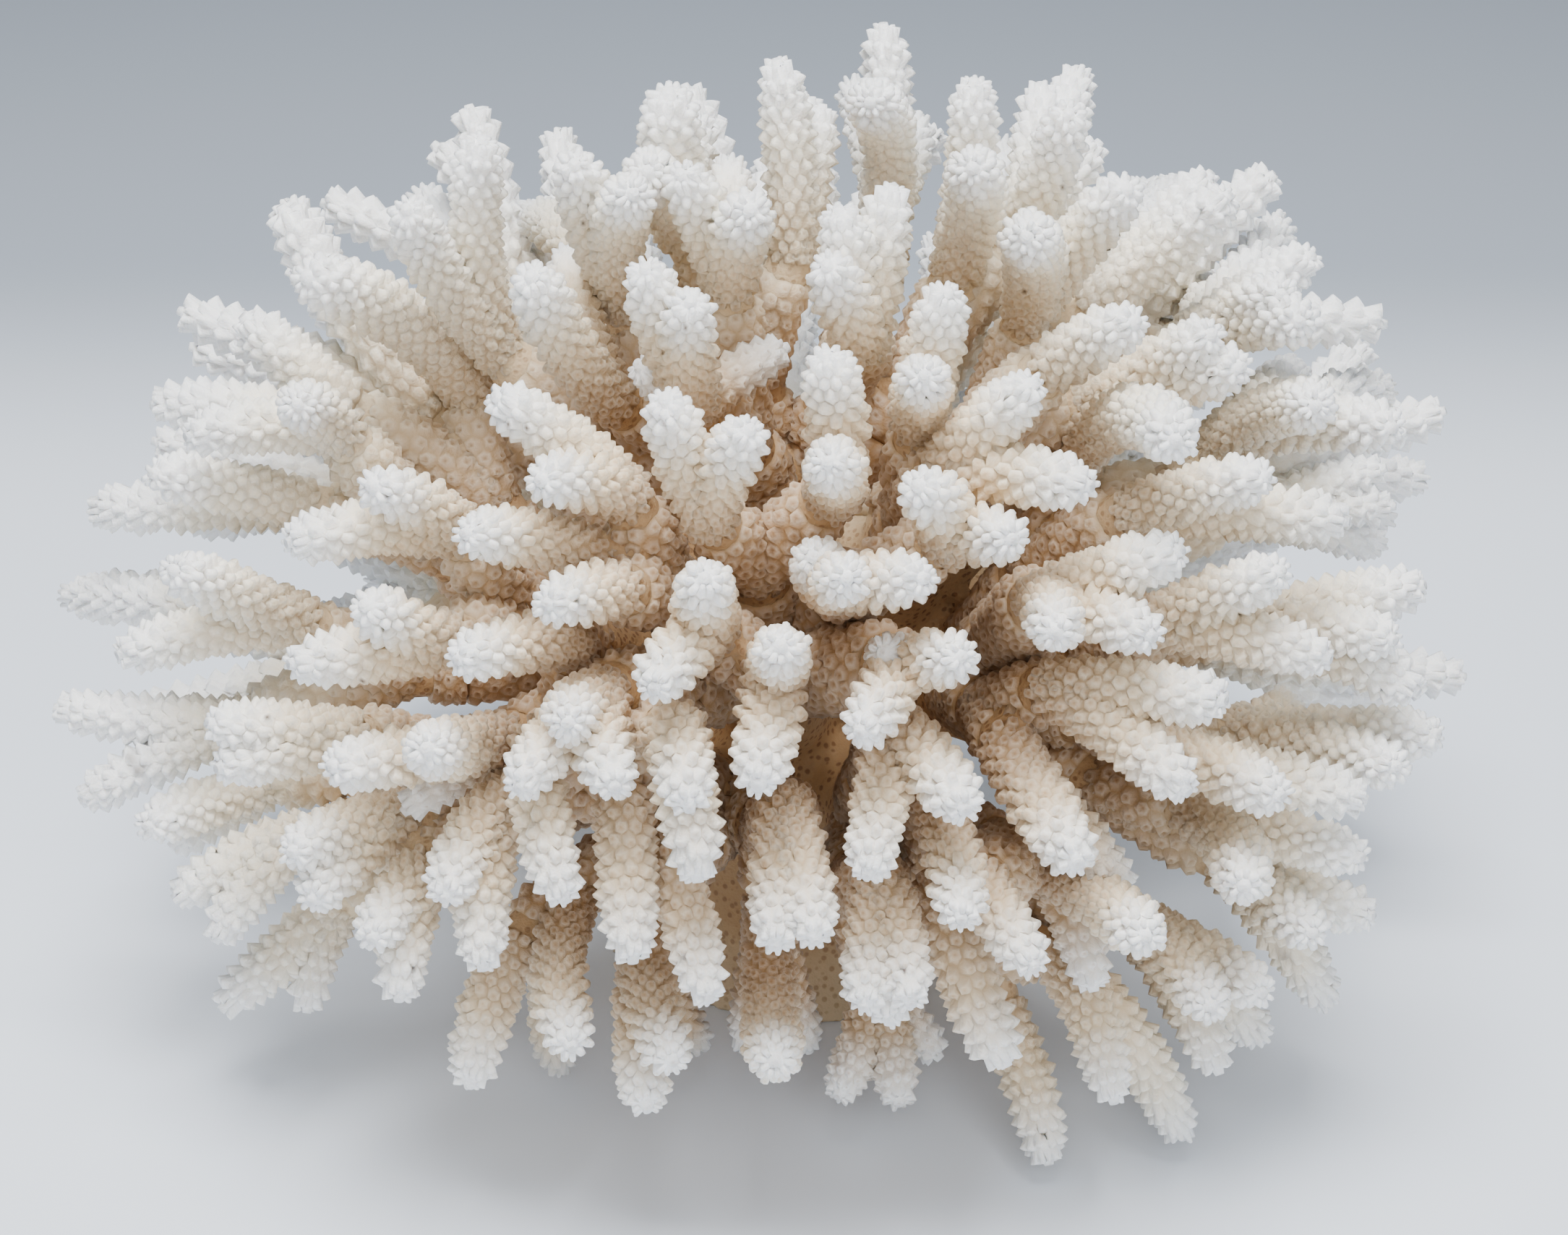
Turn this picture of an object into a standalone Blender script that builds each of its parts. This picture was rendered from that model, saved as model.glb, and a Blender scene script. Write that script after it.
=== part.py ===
"""Finger coral: a dome of forked branches that grow from a stump cut off flat.

Metres, +Z up. The origin is the middle of the flat cut that the coral rests on.
"""
import math

import bmesh
import bpy
import numpy as np
from mathutils import Vector
from mathutils.bvhtree import BVHTree

# Whole colony
DOME_HALF_WIDTH = 0.127
DOME_HALF_DEPTH = 0.104
DOME_HALF_HEIGHT = 0.103
CENTRE = Vector((0.0, 0.0, 0.070))
LOWEST_TIP = 0.0055

# Stump, from the flat cut upwards: height and radius of each ring
STUMP_RINGS = ((0.000, 0.036), (0.010, 0.032), (0.026, 0.028), (0.042, 0.024), (0.054, 0.013))
STUMP_SIDES = 14
STUMP_MIDDLE_Y = 0.008
STUMP_WAVE = 0.08
HEART = Vector((0.0, 0.008, 0.036))
FOOT_EDGE = 0.0012

# Limbs, and the rods of a branch: radii at their starts, past their middles and at their ends
LIMB_RADIUS = (0.0115, 0.0105, 0.0095)
ROD_RADIUS = {
    "stem": (0.0076, 0.0068, 0.0060),
    "arm": (0.0060, 0.0055, 0.0050),
    "finger": (0.0041, 0.0044, 0.0025),
}
STATIONS = (0.0, 0.58, 1.0)
BEND_REACH = 0.45
BEND_HEADING = 0.6
LIMB_RISE = 0.3
LIMB_SIDES = 7
ROD_SIDES = {"stem": 6, "arm": 6, "finger": 5}

# How far out each fork lies, as shares
LIMB_REACH = 0.42
STEM_REACH = 0.62
FORK_DEPTH = 0.74

# Where a branch is parted from the trunk: past the place, as a share of its stem,
# where the stem stands clear of all the other stems
FIRST_PARTING = 0.35
LAST_PARTING = 0.80
PARTING_STEPS = 10
STEM_ROOM = 0.0162
SEATING = 0.0008

# Room between pieces
JOINT_GAP = 0.0003
ROD_ROOM = 0.0012
ROOM_ROUNDS = 60
ROOM_STATIONS = (0.35, 0.6, 0.8, 1.0)
LONGEST_SLIDE = 0.015
FREE_STEM = 0.6
SHOVE = 0.25
NUDGE = 0.5
TINY = 1e-9
ROOT_OVERLAP = 0.0022
CRUMB_EDGE = 0.00003
BETTER_CUT = 1.02

# Fusing: grain of the skin that joins the tubes, and triangles kept for each tube
SKIN_GRAIN = 0.0011
ROUGH_TRIANGLES = 140
TRIANGLES = 17
TRUNK_TRIANGLES = 660

# The view that the fingers' places are read in, 2169 x 1708 pixels
VIEW_CENTRE_PX = (1092.0, 850.0)
VIEW_FOCAL_PX = 3644.0
VIEW_DISTANCE = 0.480
VIEW_ELEVATION = math.radians(27.0)

# Each limb's branches. A branch is a list of forks, and a fork is its own place and
# the tips of its fingers, in pixels of the view. A tip may add how far forward it
# lies on the dome, from 1 at the front to -1 at the back, and its relative width.
LIMBS = {
    "left": (
        (((430, 700), ((130, 708), (213, 655))),
         ((475, 600), ((262, 603), (215, 560), (412, 560, 0.9)))),
        (((480, 565), ((340, 440, 0.5, 1.15),)),
         ((650, 540), ((425, 385, 1, 1.15), (487, 510, -0.5)))),
        (((640, 735), ((402, 750), (515, 672))),
         ((625, 885), ((405, 918), (505, 838)))),
        (((420, 860), ((95, 825), (240, 788), (168, 905))),
         ((340, 995), ((80, 980), (115, 1105)))),
    ),
    "left_front": (
        (((490, 1020), ((292, 1000), (305, 1062))),
         ((370, 1085), ((205, 1142), (240, 1168, 0.2)))),
        (((700, 1020), ((460, 1060), (590, 1035), (562, 1120, 0.6))),
         ((800, 895), ((635, 912),))),
        (((430, 1150), ((245, 1240), (300, 1298))),
         ((470, 1250), ((310, 1393, 0), (425, 1395, 0)))),
        (((560, 1125), ((405, 1178), (432, 1245))),
         ((590, 1200), ((515, 1297), (552, 1378)))),
    ),
    "front": (
        (((715, 1300), ((650, 1498),)),
         ((800, 1230), ((790, 1446), (775, 1480, 0)))),
        (((715, 1090), ((668, 1335), (615, 1240))),
         ((750, 1020), ((780, 1242),)),
         ((868, 1050), ((875, 1325),)),
         ((930, 1000), ((965, 1213), (953, 1115)))),
        (((905, 1260), ((895, 1530), (930, 1467), (968, 1440, 0))),
         ((925, 1150), ((980, 1380),))),
        (((1085, 1110), ((1072, 1306), (1128, 1298))),
         ((1062, 1240), ((1072, 1468), (1030, 1450, 0.1), (1118, 1450, 0.1)))),
    ),
    "front_right": (
        (((1235, 1010), ((1200, 1208), (1335, 1118, 1, 1.15))),
         ((1265, 1080), ((1330, 1270), (1270, 1268, 0.3)))),
        (((1215, 1210), ((1195, 1390), (1230, 1410), (1260, 1385))),
         ((1215, 1350), ((1160, 1513, 0.3), (1243, 1523, 0.3), (1297, 1460, 0.1)))),
        (((1450, 1200), ((1585, 1295), (1512, 1365, 0.6))),
         ((1360, 1220), ((1430, 1337),)),
         ((1305, 1215), ((1390, 1470, 1, 1.15),))),
        (((1385, 1390), ((1450, 1605),)),
         ((1450, 1310), ((1540, 1520), (1635, 1570)))),
        (((1560, 1270), ((1675, 1392), (1685, 1480), (1745, 1372), (1745, 1437, 0))),),
    ),
    "right": (
        (((1680, 620), ((1820, 562), (1925, 592), (1915, 540, -0.5), (1785, 525, -0.6))),
         ((1700, 715), ((1925, 700, -0.2), (1912, 648, -0.2), (1910, 755, -0.4)))),
        (((1480, 640), ((1628, 610), (1545, 585, 0.4))),
         ((1560, 710), ((1750, 660), (1860, 720)))),
        (((1440, 830), ((1630, 762), (1592, 880), (1460, 875))),),
        (((1600, 860), ((1770, 790), (1835, 910))),
         ((1720, 860), ((1965, 810), (1925, 885), (1957, 955)))),
        (((1700, 1010), ((1985, 1015), (1930, 1060), (1770, 972, -0.2))),
         ((1610, 1035), ((1770, 1100), (1885, 1105)))),
        (((1650, 1120), ((1880, 1185), (1720, 1225), (1690, 1115, -0.3))),
         ((1690, 1190), ((1895, 1265), (1815, 1290), (1835, 1385)))),
        (((1450, 950), ((1690, 968), (1640, 1092))),
         ((1390, 1030), ((1490, 1192, 1, 1.15), (1555, 1230, 0.7)))),
    ),
    "top_right": (
        (((1420, 440), ((1560, 262), (1598, 280, -0.5), (1420, 328))),
         ((1510, 435), ((1672, 243), (1697, 272), (1620, 268, -0.6)))),
        (((1650, 470), ((1767, 312, -0.4), (1812, 355), (1772, 408), (1797, 445), (1620, 415, -0.4))),),
        (((1450, 510), ((1570, 445),)),
         ((1500, 560), ((1715, 508), (1675, 462)))),
        (((1270, 590), ((1310, 405), (1278, 520))),
         ((1300, 655), ((1430, 530), (1505, 672)))),
    ),
    "top": (
        (((700, 500), ((667, 195), (563, 290), (665, 328, -0.4))),),
        (((850, 560), ((735, 383), (785, 348, 0.3))),
         ((865, 430), ((795, 228), (876, 268), (738, 303, -0.4)))),
        (((965, 560), ((893, 372), (955, 418), (1085, 482, 0.6), (885, 505, 0.7))),
         ((1010, 400), ((942, 242), (1010, 225, 0.4), (1037, 292)))),
        (((950, 330), ((925, 130, 1, 1.2), (968, 162, 0.4), (895, 238))),
         ((1095, 360), ((1075, 88), (1137, 150, 0.5)))),
        (((1190, 480), ((1235, 262), (1160, 292), (1144, 368))),
         ((1225, 300), ((1222, 38), (1203, 142), (1268, 172, -0.5), (1178, 118, -0.6)))),
        (((1320, 380), ((1347, 115), (1345, 232), (1362, 285, -0.4))),
         ((1400, 340), ((1490, 98), (1440, 120, 0.2), (1478, 158), (1518, 200, 0.2)))),
    ),
    "middle": (
        (((830, 770), ((645, 738),)),
         ((860, 815), ((758, 835),)),
         ((870, 690), ((748, 665), (688, 550)))),
        (((835, 960), ((718, 1088), (785, 1000), (850, 1088))),),
        (((1070, 930), ((1048, 1085, 1, 1.1), (1080, 893))),
         ((985, 870), ((975, 800), (905, 952)))),
        (((1240, 920), ((1330, 908), (1190, 1012), (1222, 903, 0.85))),),
        (((1150, 810), ((1125, 770, 0.9), (1172, 800), (1278, 800))),
         ((1310, 745), ((1270, 672), (1400, 745)))),
        (((985, 720), ((920, 552), (1037, 595))),
         ((1150, 690), ((1142, 492), (1145, 640)))),
    ),
}

# The far side, which the view doesn't show: the direction of each branch in degrees, as
# an angle round from straight back and an angle up, and the number of its forks
HIDDEN_BRANCHES = {
    "back_left": ((-66, -6, 3), (-64, 34, 3), (-22, -8, 3), (-22, 34, 3), (-43, 8, 1)),
    "back_right": ((22, -8, 3), (22, 34, 3), (66, -6, 3), (0, 5, 1), (42, 5, 1)),
    "right": ((67, 29, 3),),
}
BACK_FORK_SPREAD = 14.0
BACK_FINGER_SPREAD = 8.5
BACK_FORK_SHARE = 0.64

# Colours
WHITE_TIPS = (0.90, 0.89, 0.86, 1.0)
TAN_STUMP = (0.62, 0.50, 0.38, 1.0)


class Fork:
    """A fork: its place, the line that it may slide along, and its fingers."""

    def __init__(self, place, slide, fingers):
        self.place = place
        self.slide = slide
        self.fingers = fingers


class Finger:
    """A finger: its tip, the line that the tip may slide along, and its relative width."""

    def __init__(self, tip, slide, width):
        self.tip = tip
        self.slide = slide
        self.width = width


class Branch:
    """A branch: its name, the limb that it grows from, and its forks."""

    def __init__(self, limb, number, forks):
        self.name = f"branch_{limb}_{number}"
        self.limb = limb
        self.forks = forks


class Rod:
    """A rod between two joints. It leaves the first in line with the joint before."""

    def __init__(self, kind, branch, joints, width):
        self.kind = kind
        self.branch = branch
        self.joints = joints
        self.width = width

    def radius(self, share):
        """The rod's radius at a share of its length."""
        return float(np.interp(share, STATIONS, ROD_RADIUS[self.kind])) * self.width


class Skeleton:
    """The joints of all the branches and the rods between them."""

    def __init__(self):
        self.places = []
        self.slides = []
        self.loose = []
        self.rods = []

    def add_joint(self, place, slide=None, loose=True):
        """Add a joint that may move, along a line if it has one, and return its number."""
        self.places.append(place[:])
        self.slides.append(slide[:] if slide else (0.0, 0.0, 0.0))
        self.loose.append(loose)
        return len(self.places) - 1

    def add_rod(self, kind, branch, joints, width=1.0):
        """Add a rod, from the joint before it, its first joint and its last."""
        self.rods.append(Rod(kind, branch, joints, width))


def eye_point():
    """The place that the view looks from."""
    back = Vector((0.0, -math.cos(VIEW_ELEVATION), math.sin(VIEW_ELEVATION)))
    return CENTRE + VIEW_DISTANCE * back


def view_axis():
    """The direction that the view looks in."""
    return Vector((0.0, math.cos(VIEW_ELEVATION), -math.sin(VIEW_ELEVATION)))


def sight_line(pixel):
    """Direction from the eye through a pixel, of length 1 along the view axis."""
    up = Vector((0.0, math.sin(VIEW_ELEVATION), math.cos(VIEW_ELEVATION)))
    across = (pixel[0] - VIEW_CENTRE_PX[0]) / VIEW_FOCAL_PX
    above = (VIEW_CENTRE_PX[1] - pixel[1]) / VIEW_FOCAL_PX
    return view_axis() + Vector((across, 0.0, 0.0)) + above * up


def above_floor(point, line):
    """The point, moved along its sight line until it is as high as the lowest tip."""
    if point.z >= LOWEST_TIP:
        return point
    return point + line * ((LOWEST_TIP - point.z) / line.z)


def tip_on_dome(pixel, forward):
    """Where a pixel's sight line meets the dome that the tips end on."""
    half = Vector((DOME_HALF_WIDTH, DOME_HALF_DEPTH, DOME_HALF_HEIGHT))
    eye = eye_point()
    line = sight_line(pixel)
    start = Vector([(eye[i] - CENTRE[i]) / half[i] for i in range(3)])
    step = Vector([line[i] / half[i] for i in range(3)])
    nearest = -start.dot(step) / step.length_squared
    miss = (start + nearest * step).length_squared
    inside = math.sqrt(max(0.0, 1.0 - miss)) / step.length
    return above_floor(eye + line * (nearest - forward * inside), line)


def fork_in_view(pixel, tips):
    """A fork on its pixel's sight line, part of the way forward to its tips."""
    eye = eye_point()
    depth = sum((tip - eye).dot(view_axis()) for tip in tips) / len(tips)
    depth = VIEW_DISTANCE + FORK_DEPTH * (depth - VIEW_DISTANCE)
    line = sight_line(pixel)
    return above_floor(eye + line * depth, line)


def seen_forks(branch):
    """The forks of a branch that is read from the view."""
    forks = []
    for place, tips in branch:
        fingers = []
        for tip in tips:
            forward = tip[2] if len(tip) > 2 else 1.0
            width = tip[3] if len(tip) > 3 else 1.0
            slide = sight_line(tip[:2]).normalized()
            fingers.append(Finger(tip_on_dome(tip[:2], forward), slide, width))
        fork = fork_in_view(place, [finger.tip for finger in fingers])
        forks.append(Fork(fork, sight_line(place).normalized(), fingers))
    return forks


def dome_point(round_angle, up_angle, share):
    """A point on the dome, at a share of the way out, by its angles from straight back."""
    sideways = math.radians(round_angle)
    upwards = math.radians(up_angle)
    out = Vector((
        DOME_HALF_WIDTH * math.sin(sideways) * math.cos(upwards),
        DOME_HALF_DEPTH * math.cos(sideways) * math.cos(upwards),
        DOME_HALF_HEIGHT * math.sin(upwards),
    ))
    point = CENTRE + share * out
    point.z = max(point.z, LOWEST_TIP)
    return point


def spread_angles(middle, spread, turn):
    """Three directions round a middle one."""
    angles = []
    for third in range(3):
        angle = turn + third * math.tau / 3.0
        widen = 1.0 / math.cos(math.radians(middle[1]))
        angles.append((middle[0] + spread * widen * math.cos(angle), middle[1] + spread * math.sin(angle)))
    return angles


def hidden_forks(middle, count, number):
    """The forks of a branch on the far side, three or one, with three fingers each."""
    forks = []
    places = spread_angles(middle, BACK_FORK_SPREAD, 0.5 + 1.1 * number) if count > 1 else [middle]
    for place in places:
        turn = 0.9 + 1.7 * number + 0.6 * len(forks)
        tips = [dome_point(*tip, 1.0) for tip in spread_angles(place, BACK_FINGER_SPREAD, turn)]
        fork = dome_point(*place, BACK_FORK_SHARE)
        forks.append(Fork(fork, None, [Finger(tip, None, 1.0) for tip in tips]))
    return forks


def all_branches():
    """Every branch of the coral."""
    branches = []
    for limb, seen in LIMBS.items():
        for number, branch in enumerate(seen, start=1):
            branches.append(Branch(limb, number, seen_forks(branch)))
    for limb, hidden in HIDDEN_BRANCHES.items():
        for number, (*middle, count) in enumerate(hidden, start=1 + len(LIMBS.get(limb, ()))):
            branches.append(Branch(limb, number, hidden_forks(middle, count, number)))
    return branches


def limb_ends(branches):
    """Each limb's end, part of the way out to the forks of its branches."""
    ends = {}
    for limb in LIMBS | HIDDEN_BRANCHES:
        places = [fork.place for branch in branches if branch.limb == limb for fork in branch.forks]
        ends[limb] = HEART.lerp(sum(places, Vector()) / len(places), LIMB_REACH)
    return ends


def joined(branches, ends):
    """The skeleton of all the branches."""
    bones = Skeleton()
    heart = bones.add_joint(HEART, loose=False)
    limbs = {limb: bones.add_joint(end, loose=False) for limb, end in ends.items()}
    for branch in branches:
        limb = limbs[branch.limb]
        places = [fork.place for fork in branch.forks]
        middle = sum(places, Vector()) / len(places)
        if len(places) > 1:
            parting = bones.add_joint(ends[branch.limb].lerp(middle, STEM_REACH))
            bones.add_rod("stem", branch.name, (heart, limb, parting))
        for fork in branch.forks:
            place = bones.add_joint(fork.place, fork.slide)
            if len(places) > 1:
                bones.add_rod("arm", branch.name, (limb, parting, place))
                before = parting
            else:
                bones.add_rod("stem", branch.name, (heart, limb, place))
                before = limb
            for finger in fork.fingers:
                tip = bones.add_joint(finger.tip, finger.slide)
                bones.add_rod("finger", branch.name, (before, place, tip), finger.width)
    return bones


def on_curves(places, joints, share):
    """The points at one share of the way along every rod."""
    before, start, end = (places[joints[:, column]] for column in range(3))
    heading = start - before
    chord = end - start
    length = np.linalg.norm(chord, axis=1, keepdims=True)
    lean = BEND_HEADING * heading / np.linalg.norm(heading, axis=1, keepdims=True) + chord / length
    middle = start + BEND_REACH * length * lean / np.linalg.norm(lean, axis=1, keepdims=True)
    return (1 - share) ** 2 * start + 2 * share * (1 - share) * middle + share ** 2 * end


def crowding(places, joints, radii, stems, linked):
    """How hard the rods push each joint where they are too near each other."""
    push = np.zeros_like(places)
    points = {share: on_curves(places, joints, share) for share in ROOM_STATIONS}
    for mine in ROOM_STATIONS:
        for other in ROOM_STATIONS:
            apart = points[mine][:, None, :] - points[other][None, :, :]
            distance = np.linalg.norm(apart, axis=2) + TINY
            room = radii[mine][:, None] + radii[other][None, :] + ROD_ROOM
            short = np.clip(room - distance, 0.0, None)
            if min(mine, other) < 1.0:
                short[linked] = 0.0
            if mine < FREE_STEM:
                short[stems] = 0.0
            if other < FREE_STEM:
                short[:, stems] = 0.0
            np.fill_diagonal(short, 0.0)
            shove = SHOVE * np.sum(short[:, :, None] * apart / distance[:, :, None], axis=1)
            np.add.at(push, joints[:, 2], mine * shove)
            np.add.at(push, joints[:, 1], (1.0 - mine) * shove)
    return push


def make_room(bones):
    """Move the joints until the rods stand clear of each other.

    A joint that is seen in the view slides along its sight line and so stays where
    the view shows it.
    """
    places = np.array(bones.places)
    first_places = places.copy()
    slides = np.array(bones.slides)
    loose = np.array(bones.loose)[:, None]
    sliding = np.any(slides != 0.0, axis=1)[:, None]
    joints = np.array([rod.joints for rod in bones.rods])
    radii = {share: np.array([rod.radius(share) for rod in bones.rods]) for share in ROOM_STATIONS}
    stems = np.array([rod.kind == "stem" for rod in bones.rods])
    linked = (joints[:, None, 1:, None] == joints[None, :, None, 1:]).any(axis=(2, 3))
    for _ in range(ROOM_ROUNDS):
        push = crowding(places, joints, radii, stems, linked)
        onward = np.sum(push * slides, axis=1, keepdims=True)
        size = np.linalg.norm(push, axis=1, keepdims=True)
        onward += NUDGE * np.where(onward >= 0.0, size, -size)
        places += loose * np.where(sliding, onward * slides, push)
        moved = places - first_places
        length = np.linalg.norm(moved, axis=1, keepdims=True)
        places = first_places + moved * np.minimum(1.0, LONGEST_SLIDE / np.maximum(length, TINY))
        places[:, 2] = np.maximum(places[:, 2], LOWEST_TIP)
    bones.places = [Vector(place) for place in places]


def bend(start, heading, end, share):
    """A point on a curve that leaves start along heading and ends at end."""
    chord = end - start
    lean = BEND_HEADING * heading.normalized() + chord.normalized()
    middle = start + BEND_REACH * chord.length * lean.normalized()
    return (1 - share) ** 2 * start + 2 * share * (1 - share) * middle + share ** 2 * end


def tube(points, radii, sides):
    """A closed tube through points, as a mesh object."""
    mesh = bpy.data.meshes.new("tube")
    shape = bmesh.new()
    last_ring = None
    for number, (point, radius) in enumerate(zip(points, radii)):
        before = points[max(number - 1, 0)]
        after = points[min(number + 1, len(points) - 1)]
        frame = (after - before).to_track_quat("Z", "Y").to_matrix().to_4x4()
        frame.translation = point
        end = number in (0, len(points) - 1)
        ring = bmesh.ops.create_circle(shape, cap_ends=end, segments=sides, radius=radius, matrix=frame)
        edges = list({edge for vert in ring["verts"] for edge in vert.link_edges})
        if last_ring:
            bmesh.ops.bridge_loops(shape, edges=last_ring + edges)
        last_ring = edges
    bmesh.ops.recalc_face_normals(shape, faces=shape.faces)
    bmesh.ops.triangulate(shape, faces=shape.faces)
    shape.to_mesh(mesh)
    shape.free()
    return bpy.data.objects.new("tube", mesh)


def rod_point(bones, rod, share):
    """A point at a share of the way along a rod."""
    before, start, end = (bones.places[joint] for joint in rod.joints)
    return bend(start, start - before, end, share)


def rod_tube(bones, rod, first, last):
    """The stretch of a rod between two shares of its length, as a tube."""
    shares = [first + (last - first) * station for station in STATIONS]
    points = [rod_point(bones, rod, share) for share in shares]
    if first == 0.0:
        points[0] = points[0] - ROOT_OVERLAP * (points[1] - points[0]).normalized()
    return tube(points, [rod.radius(share) for share in shares], ROD_SIDES[rod.kind])


def limb_tube(end):
    """A limb, from the coral's heart to where its branches part."""
    heading = (end - HEART).normalized() + Vector((0.0, 0.0, LIMB_RISE))
    points = [bend(HEART, heading, end, share) for share in STATIONS]
    return tube(points, LIMB_RADIUS, LIMB_SIDES)


def partings(bones):
    """For each branch, the share of its stem past which it is clear of the others."""
    steps = [number / PARTING_STEPS for number in range(PARTING_STEPS + 1)]
    stems = [rod for rod in bones.rods if rod.kind == "stem"]
    lines = [np.array([rod_point(bones, rod, share)[:] for share in steps]) for rod in stems]
    shares = {}
    for number, rod in enumerate(stems):
        others = np.concatenate(lines[:number] + lines[number + 1:])
        apart = np.linalg.norm(lines[number][:, None, :] - others[None, :, :], axis=2).min(axis=1)
        crowded = [step for step, distance in zip(steps, apart) if distance < STEM_ROOM]
        shares[rod.branch] = min(max([FIRST_PARTING] + crowded), LAST_PARTING)
    return shares


def stem_seat(bones, rod, share):
    """The share of a stem at which its branch begins, just inside the trunk."""
    length = (rod_point(bones, rod, 1.0) - rod_point(bones, rod, 0.0)).length
    return share - SEATING / length


def stump_body():
    """The stump: a fluted root that narrows upwards, cut off flat at the bottom."""
    shape = bmesh.new()
    last_ring = None
    for height, radius in STUMP_RINGS:
        end = height in (STUMP_RINGS[0][0], STUMP_RINGS[-1][0])
        ring = bmesh.ops.create_circle(shape, cap_ends=end, segments=STUMP_SIDES, radius=radius)["verts"]
        for vert in ring:
            angle = math.atan2(vert.co.y, vert.co.x)
            flute = 1.0 + STUMP_WAVE * math.cos(3.0 * angle + 1.0) * math.cos(2.0 * angle)
            vert.co = (vert.co.x * flute, vert.co.y * flute + STUMP_MIDDLE_Y, height)
        edges = list({edge for vert in ring for edge in vert.link_edges})
        if last_ring:
            bmesh.ops.bridge_loops(shape, edges=last_ring + edges)
        last_ring = edges
    bmesh.ops.recalc_face_normals(shape, faces=shape.faces)
    bmesh.ops.triangulate(shape, faces=shape.faces)
    mesh = bpy.data.meshes.new("stump")
    shape.to_mesh(mesh)
    shape.free()
    return bpy.data.objects.new("stump", mesh)


def applied(thing):
    """The mesh of an object with its modifiers applied."""
    graph = bpy.context.evaluated_depsgraph_get()
    mesh = bpy.data.meshes.new_from_object(thing.evaluated_get(graph))
    thing.modifiers.clear()
    return mesh


def fused(name, tubes, collection):
    """Tubes grown together into one closed skin."""
    shape = bmesh.new()
    for part in tubes:
        shape.from_mesh(part.data)
        bpy.data.objects.remove(part)
    mesh = bpy.data.meshes.new(name)
    shape.to_mesh(mesh)
    shape.free()
    thing = bpy.data.objects.new(name, mesh)
    collection.objects.link(thing)
    skin = thing.modifiers.new("skin", "REMESH")
    skin.mode = "VOXEL"
    skin.voxel_size = SKIN_GRAIN
    thing.data = applied(thing)
    simplify(thing, ROUGH_TRIANGLES * len(tubes))
    return thing


def simplify(thing, triangles):
    """Keep so many triangles of a solid's surface."""
    facets = thing.modifiers.new("facets", "DECIMATE")
    facets.use_collapse_triangulate = True
    sides = sum(len(face.vertices) - 2 for face in thing.data.polygons)
    facets.ratio = min(1.0, triangles / sides)
    thing.data = applied(thing)


def flatten_foot(mesh):
    """Press the stump's lowest points onto the flat cut."""
    for vert in mesh.vertices:
        if vert.co.z < FOOT_EDGE:
            vert.co.z = 0.0


def grown(mesh, extra):
    """A copy of a mesh, moved out along its normals, as a cutter."""
    cutter = bpy.data.objects.new("cutter", mesh.copy())
    places = [vert.co + extra * vert.normal for vert in mesh.vertices]
    for vert, place in zip(cutter.data.vertices, places):
        vert.co = place
    return cutter


def tree_of(mesh):
    """A search tree of a mesh's faces."""
    places = [vert.co[:] for vert in mesh.vertices]
    return BVHTree.FromPolygons(places, [face.vertices[:] for face in mesh.polygons])


def cut_clear(thing, standing, workshop):
    """Cut a solid clear of those that already stand where it runs into them."""
    for other in standing:
        cutter = grown(other.data, JOINT_GAP)
        workshop.objects.link(cutter)
        if tree_of(thing.data).overlap(tree_of(cutter.data)):
            thing.data = best_cut(thing, cutter)
        bpy.data.objects.remove(cutter)


def best_cut(thing, cutter):
    """The closed mesh that keeps most of a solid when it is cut."""
    best = None
    most = 0.0
    for solver in ("EXACT", "MANIFOLD"):
        step = thing.modifiers.new("clear", "BOOLEAN")
        step.operation = "DIFFERENCE"
        step.solver = solver
        step.object = cutter
        mesh, volume = main_body(applied(thing))
        if volume > BETTER_CUT * most:
            best = mesh
            most = volume
    return best


def main_body(mesh):
    """A cut mesh without its crumbs, and its volume, or none if it isn't closed."""
    shape = bmesh.new()
    shape.from_mesh(mesh)
    unseen = set(shape.verts)
    bodies = []
    while unseen:
        body = {unseen.pop()}
        front = list(body)
        while front:
            for edge in front.pop().link_edges:
                for vert in edge.verts:
                    if vert in unseen:
                        unseen.remove(vert)
                        body.add(vert)
                        front.append(vert)
        bodies.append(body)
    bodies.sort(key=len)
    for body in bodies[:-1]:
        bmesh.ops.delete(shape, geom=list(body), context="VERTS")
    bmesh.ops.triangulate(shape, faces=shape.faces)
    smoothed = shape.copy()
    bmesh.ops.dissolve_degenerate(smoothed, dist=CRUMB_EDGE, edges=smoothed.edges)
    bmesh.ops.triangulate(smoothed, faces=smoothed.faces)
    volume = 0.0
    for body in (shape, smoothed):
        if body.faces and all(len(edge.link_faces) == 2 for edge in body.edges):
            body.to_mesh(mesh)
            volume = body.calc_volume()
        body.free()
    return mesh, volume


def coral_material(name, colour):
    """Dull limy skeleton."""
    material = bpy.data.materials.new(name)
    material.use_nodes = True
    shader = material.node_tree.nodes["Principled BSDF"]
    shader.inputs["Base Color"].default_value = colour
    shader.inputs["Roughness"].default_value = 0.75
    shader.inputs["Metallic"].default_value = 0.0
    material.diffuse_color = colour
    return material


def finish(thing, collection, workshop, material):
    """File a finished solid with the coral."""
    workshop.objects.unlink(thing)
    collection.objects.link(thing)
    thing.data.name = thing.name
    thing.data.materials.clear()
    thing.data.materials.append(material)
    thing.data.shade_smooth()
    thing.data.set_sharp_from_angle(angle=math.radians(50.0))


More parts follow.
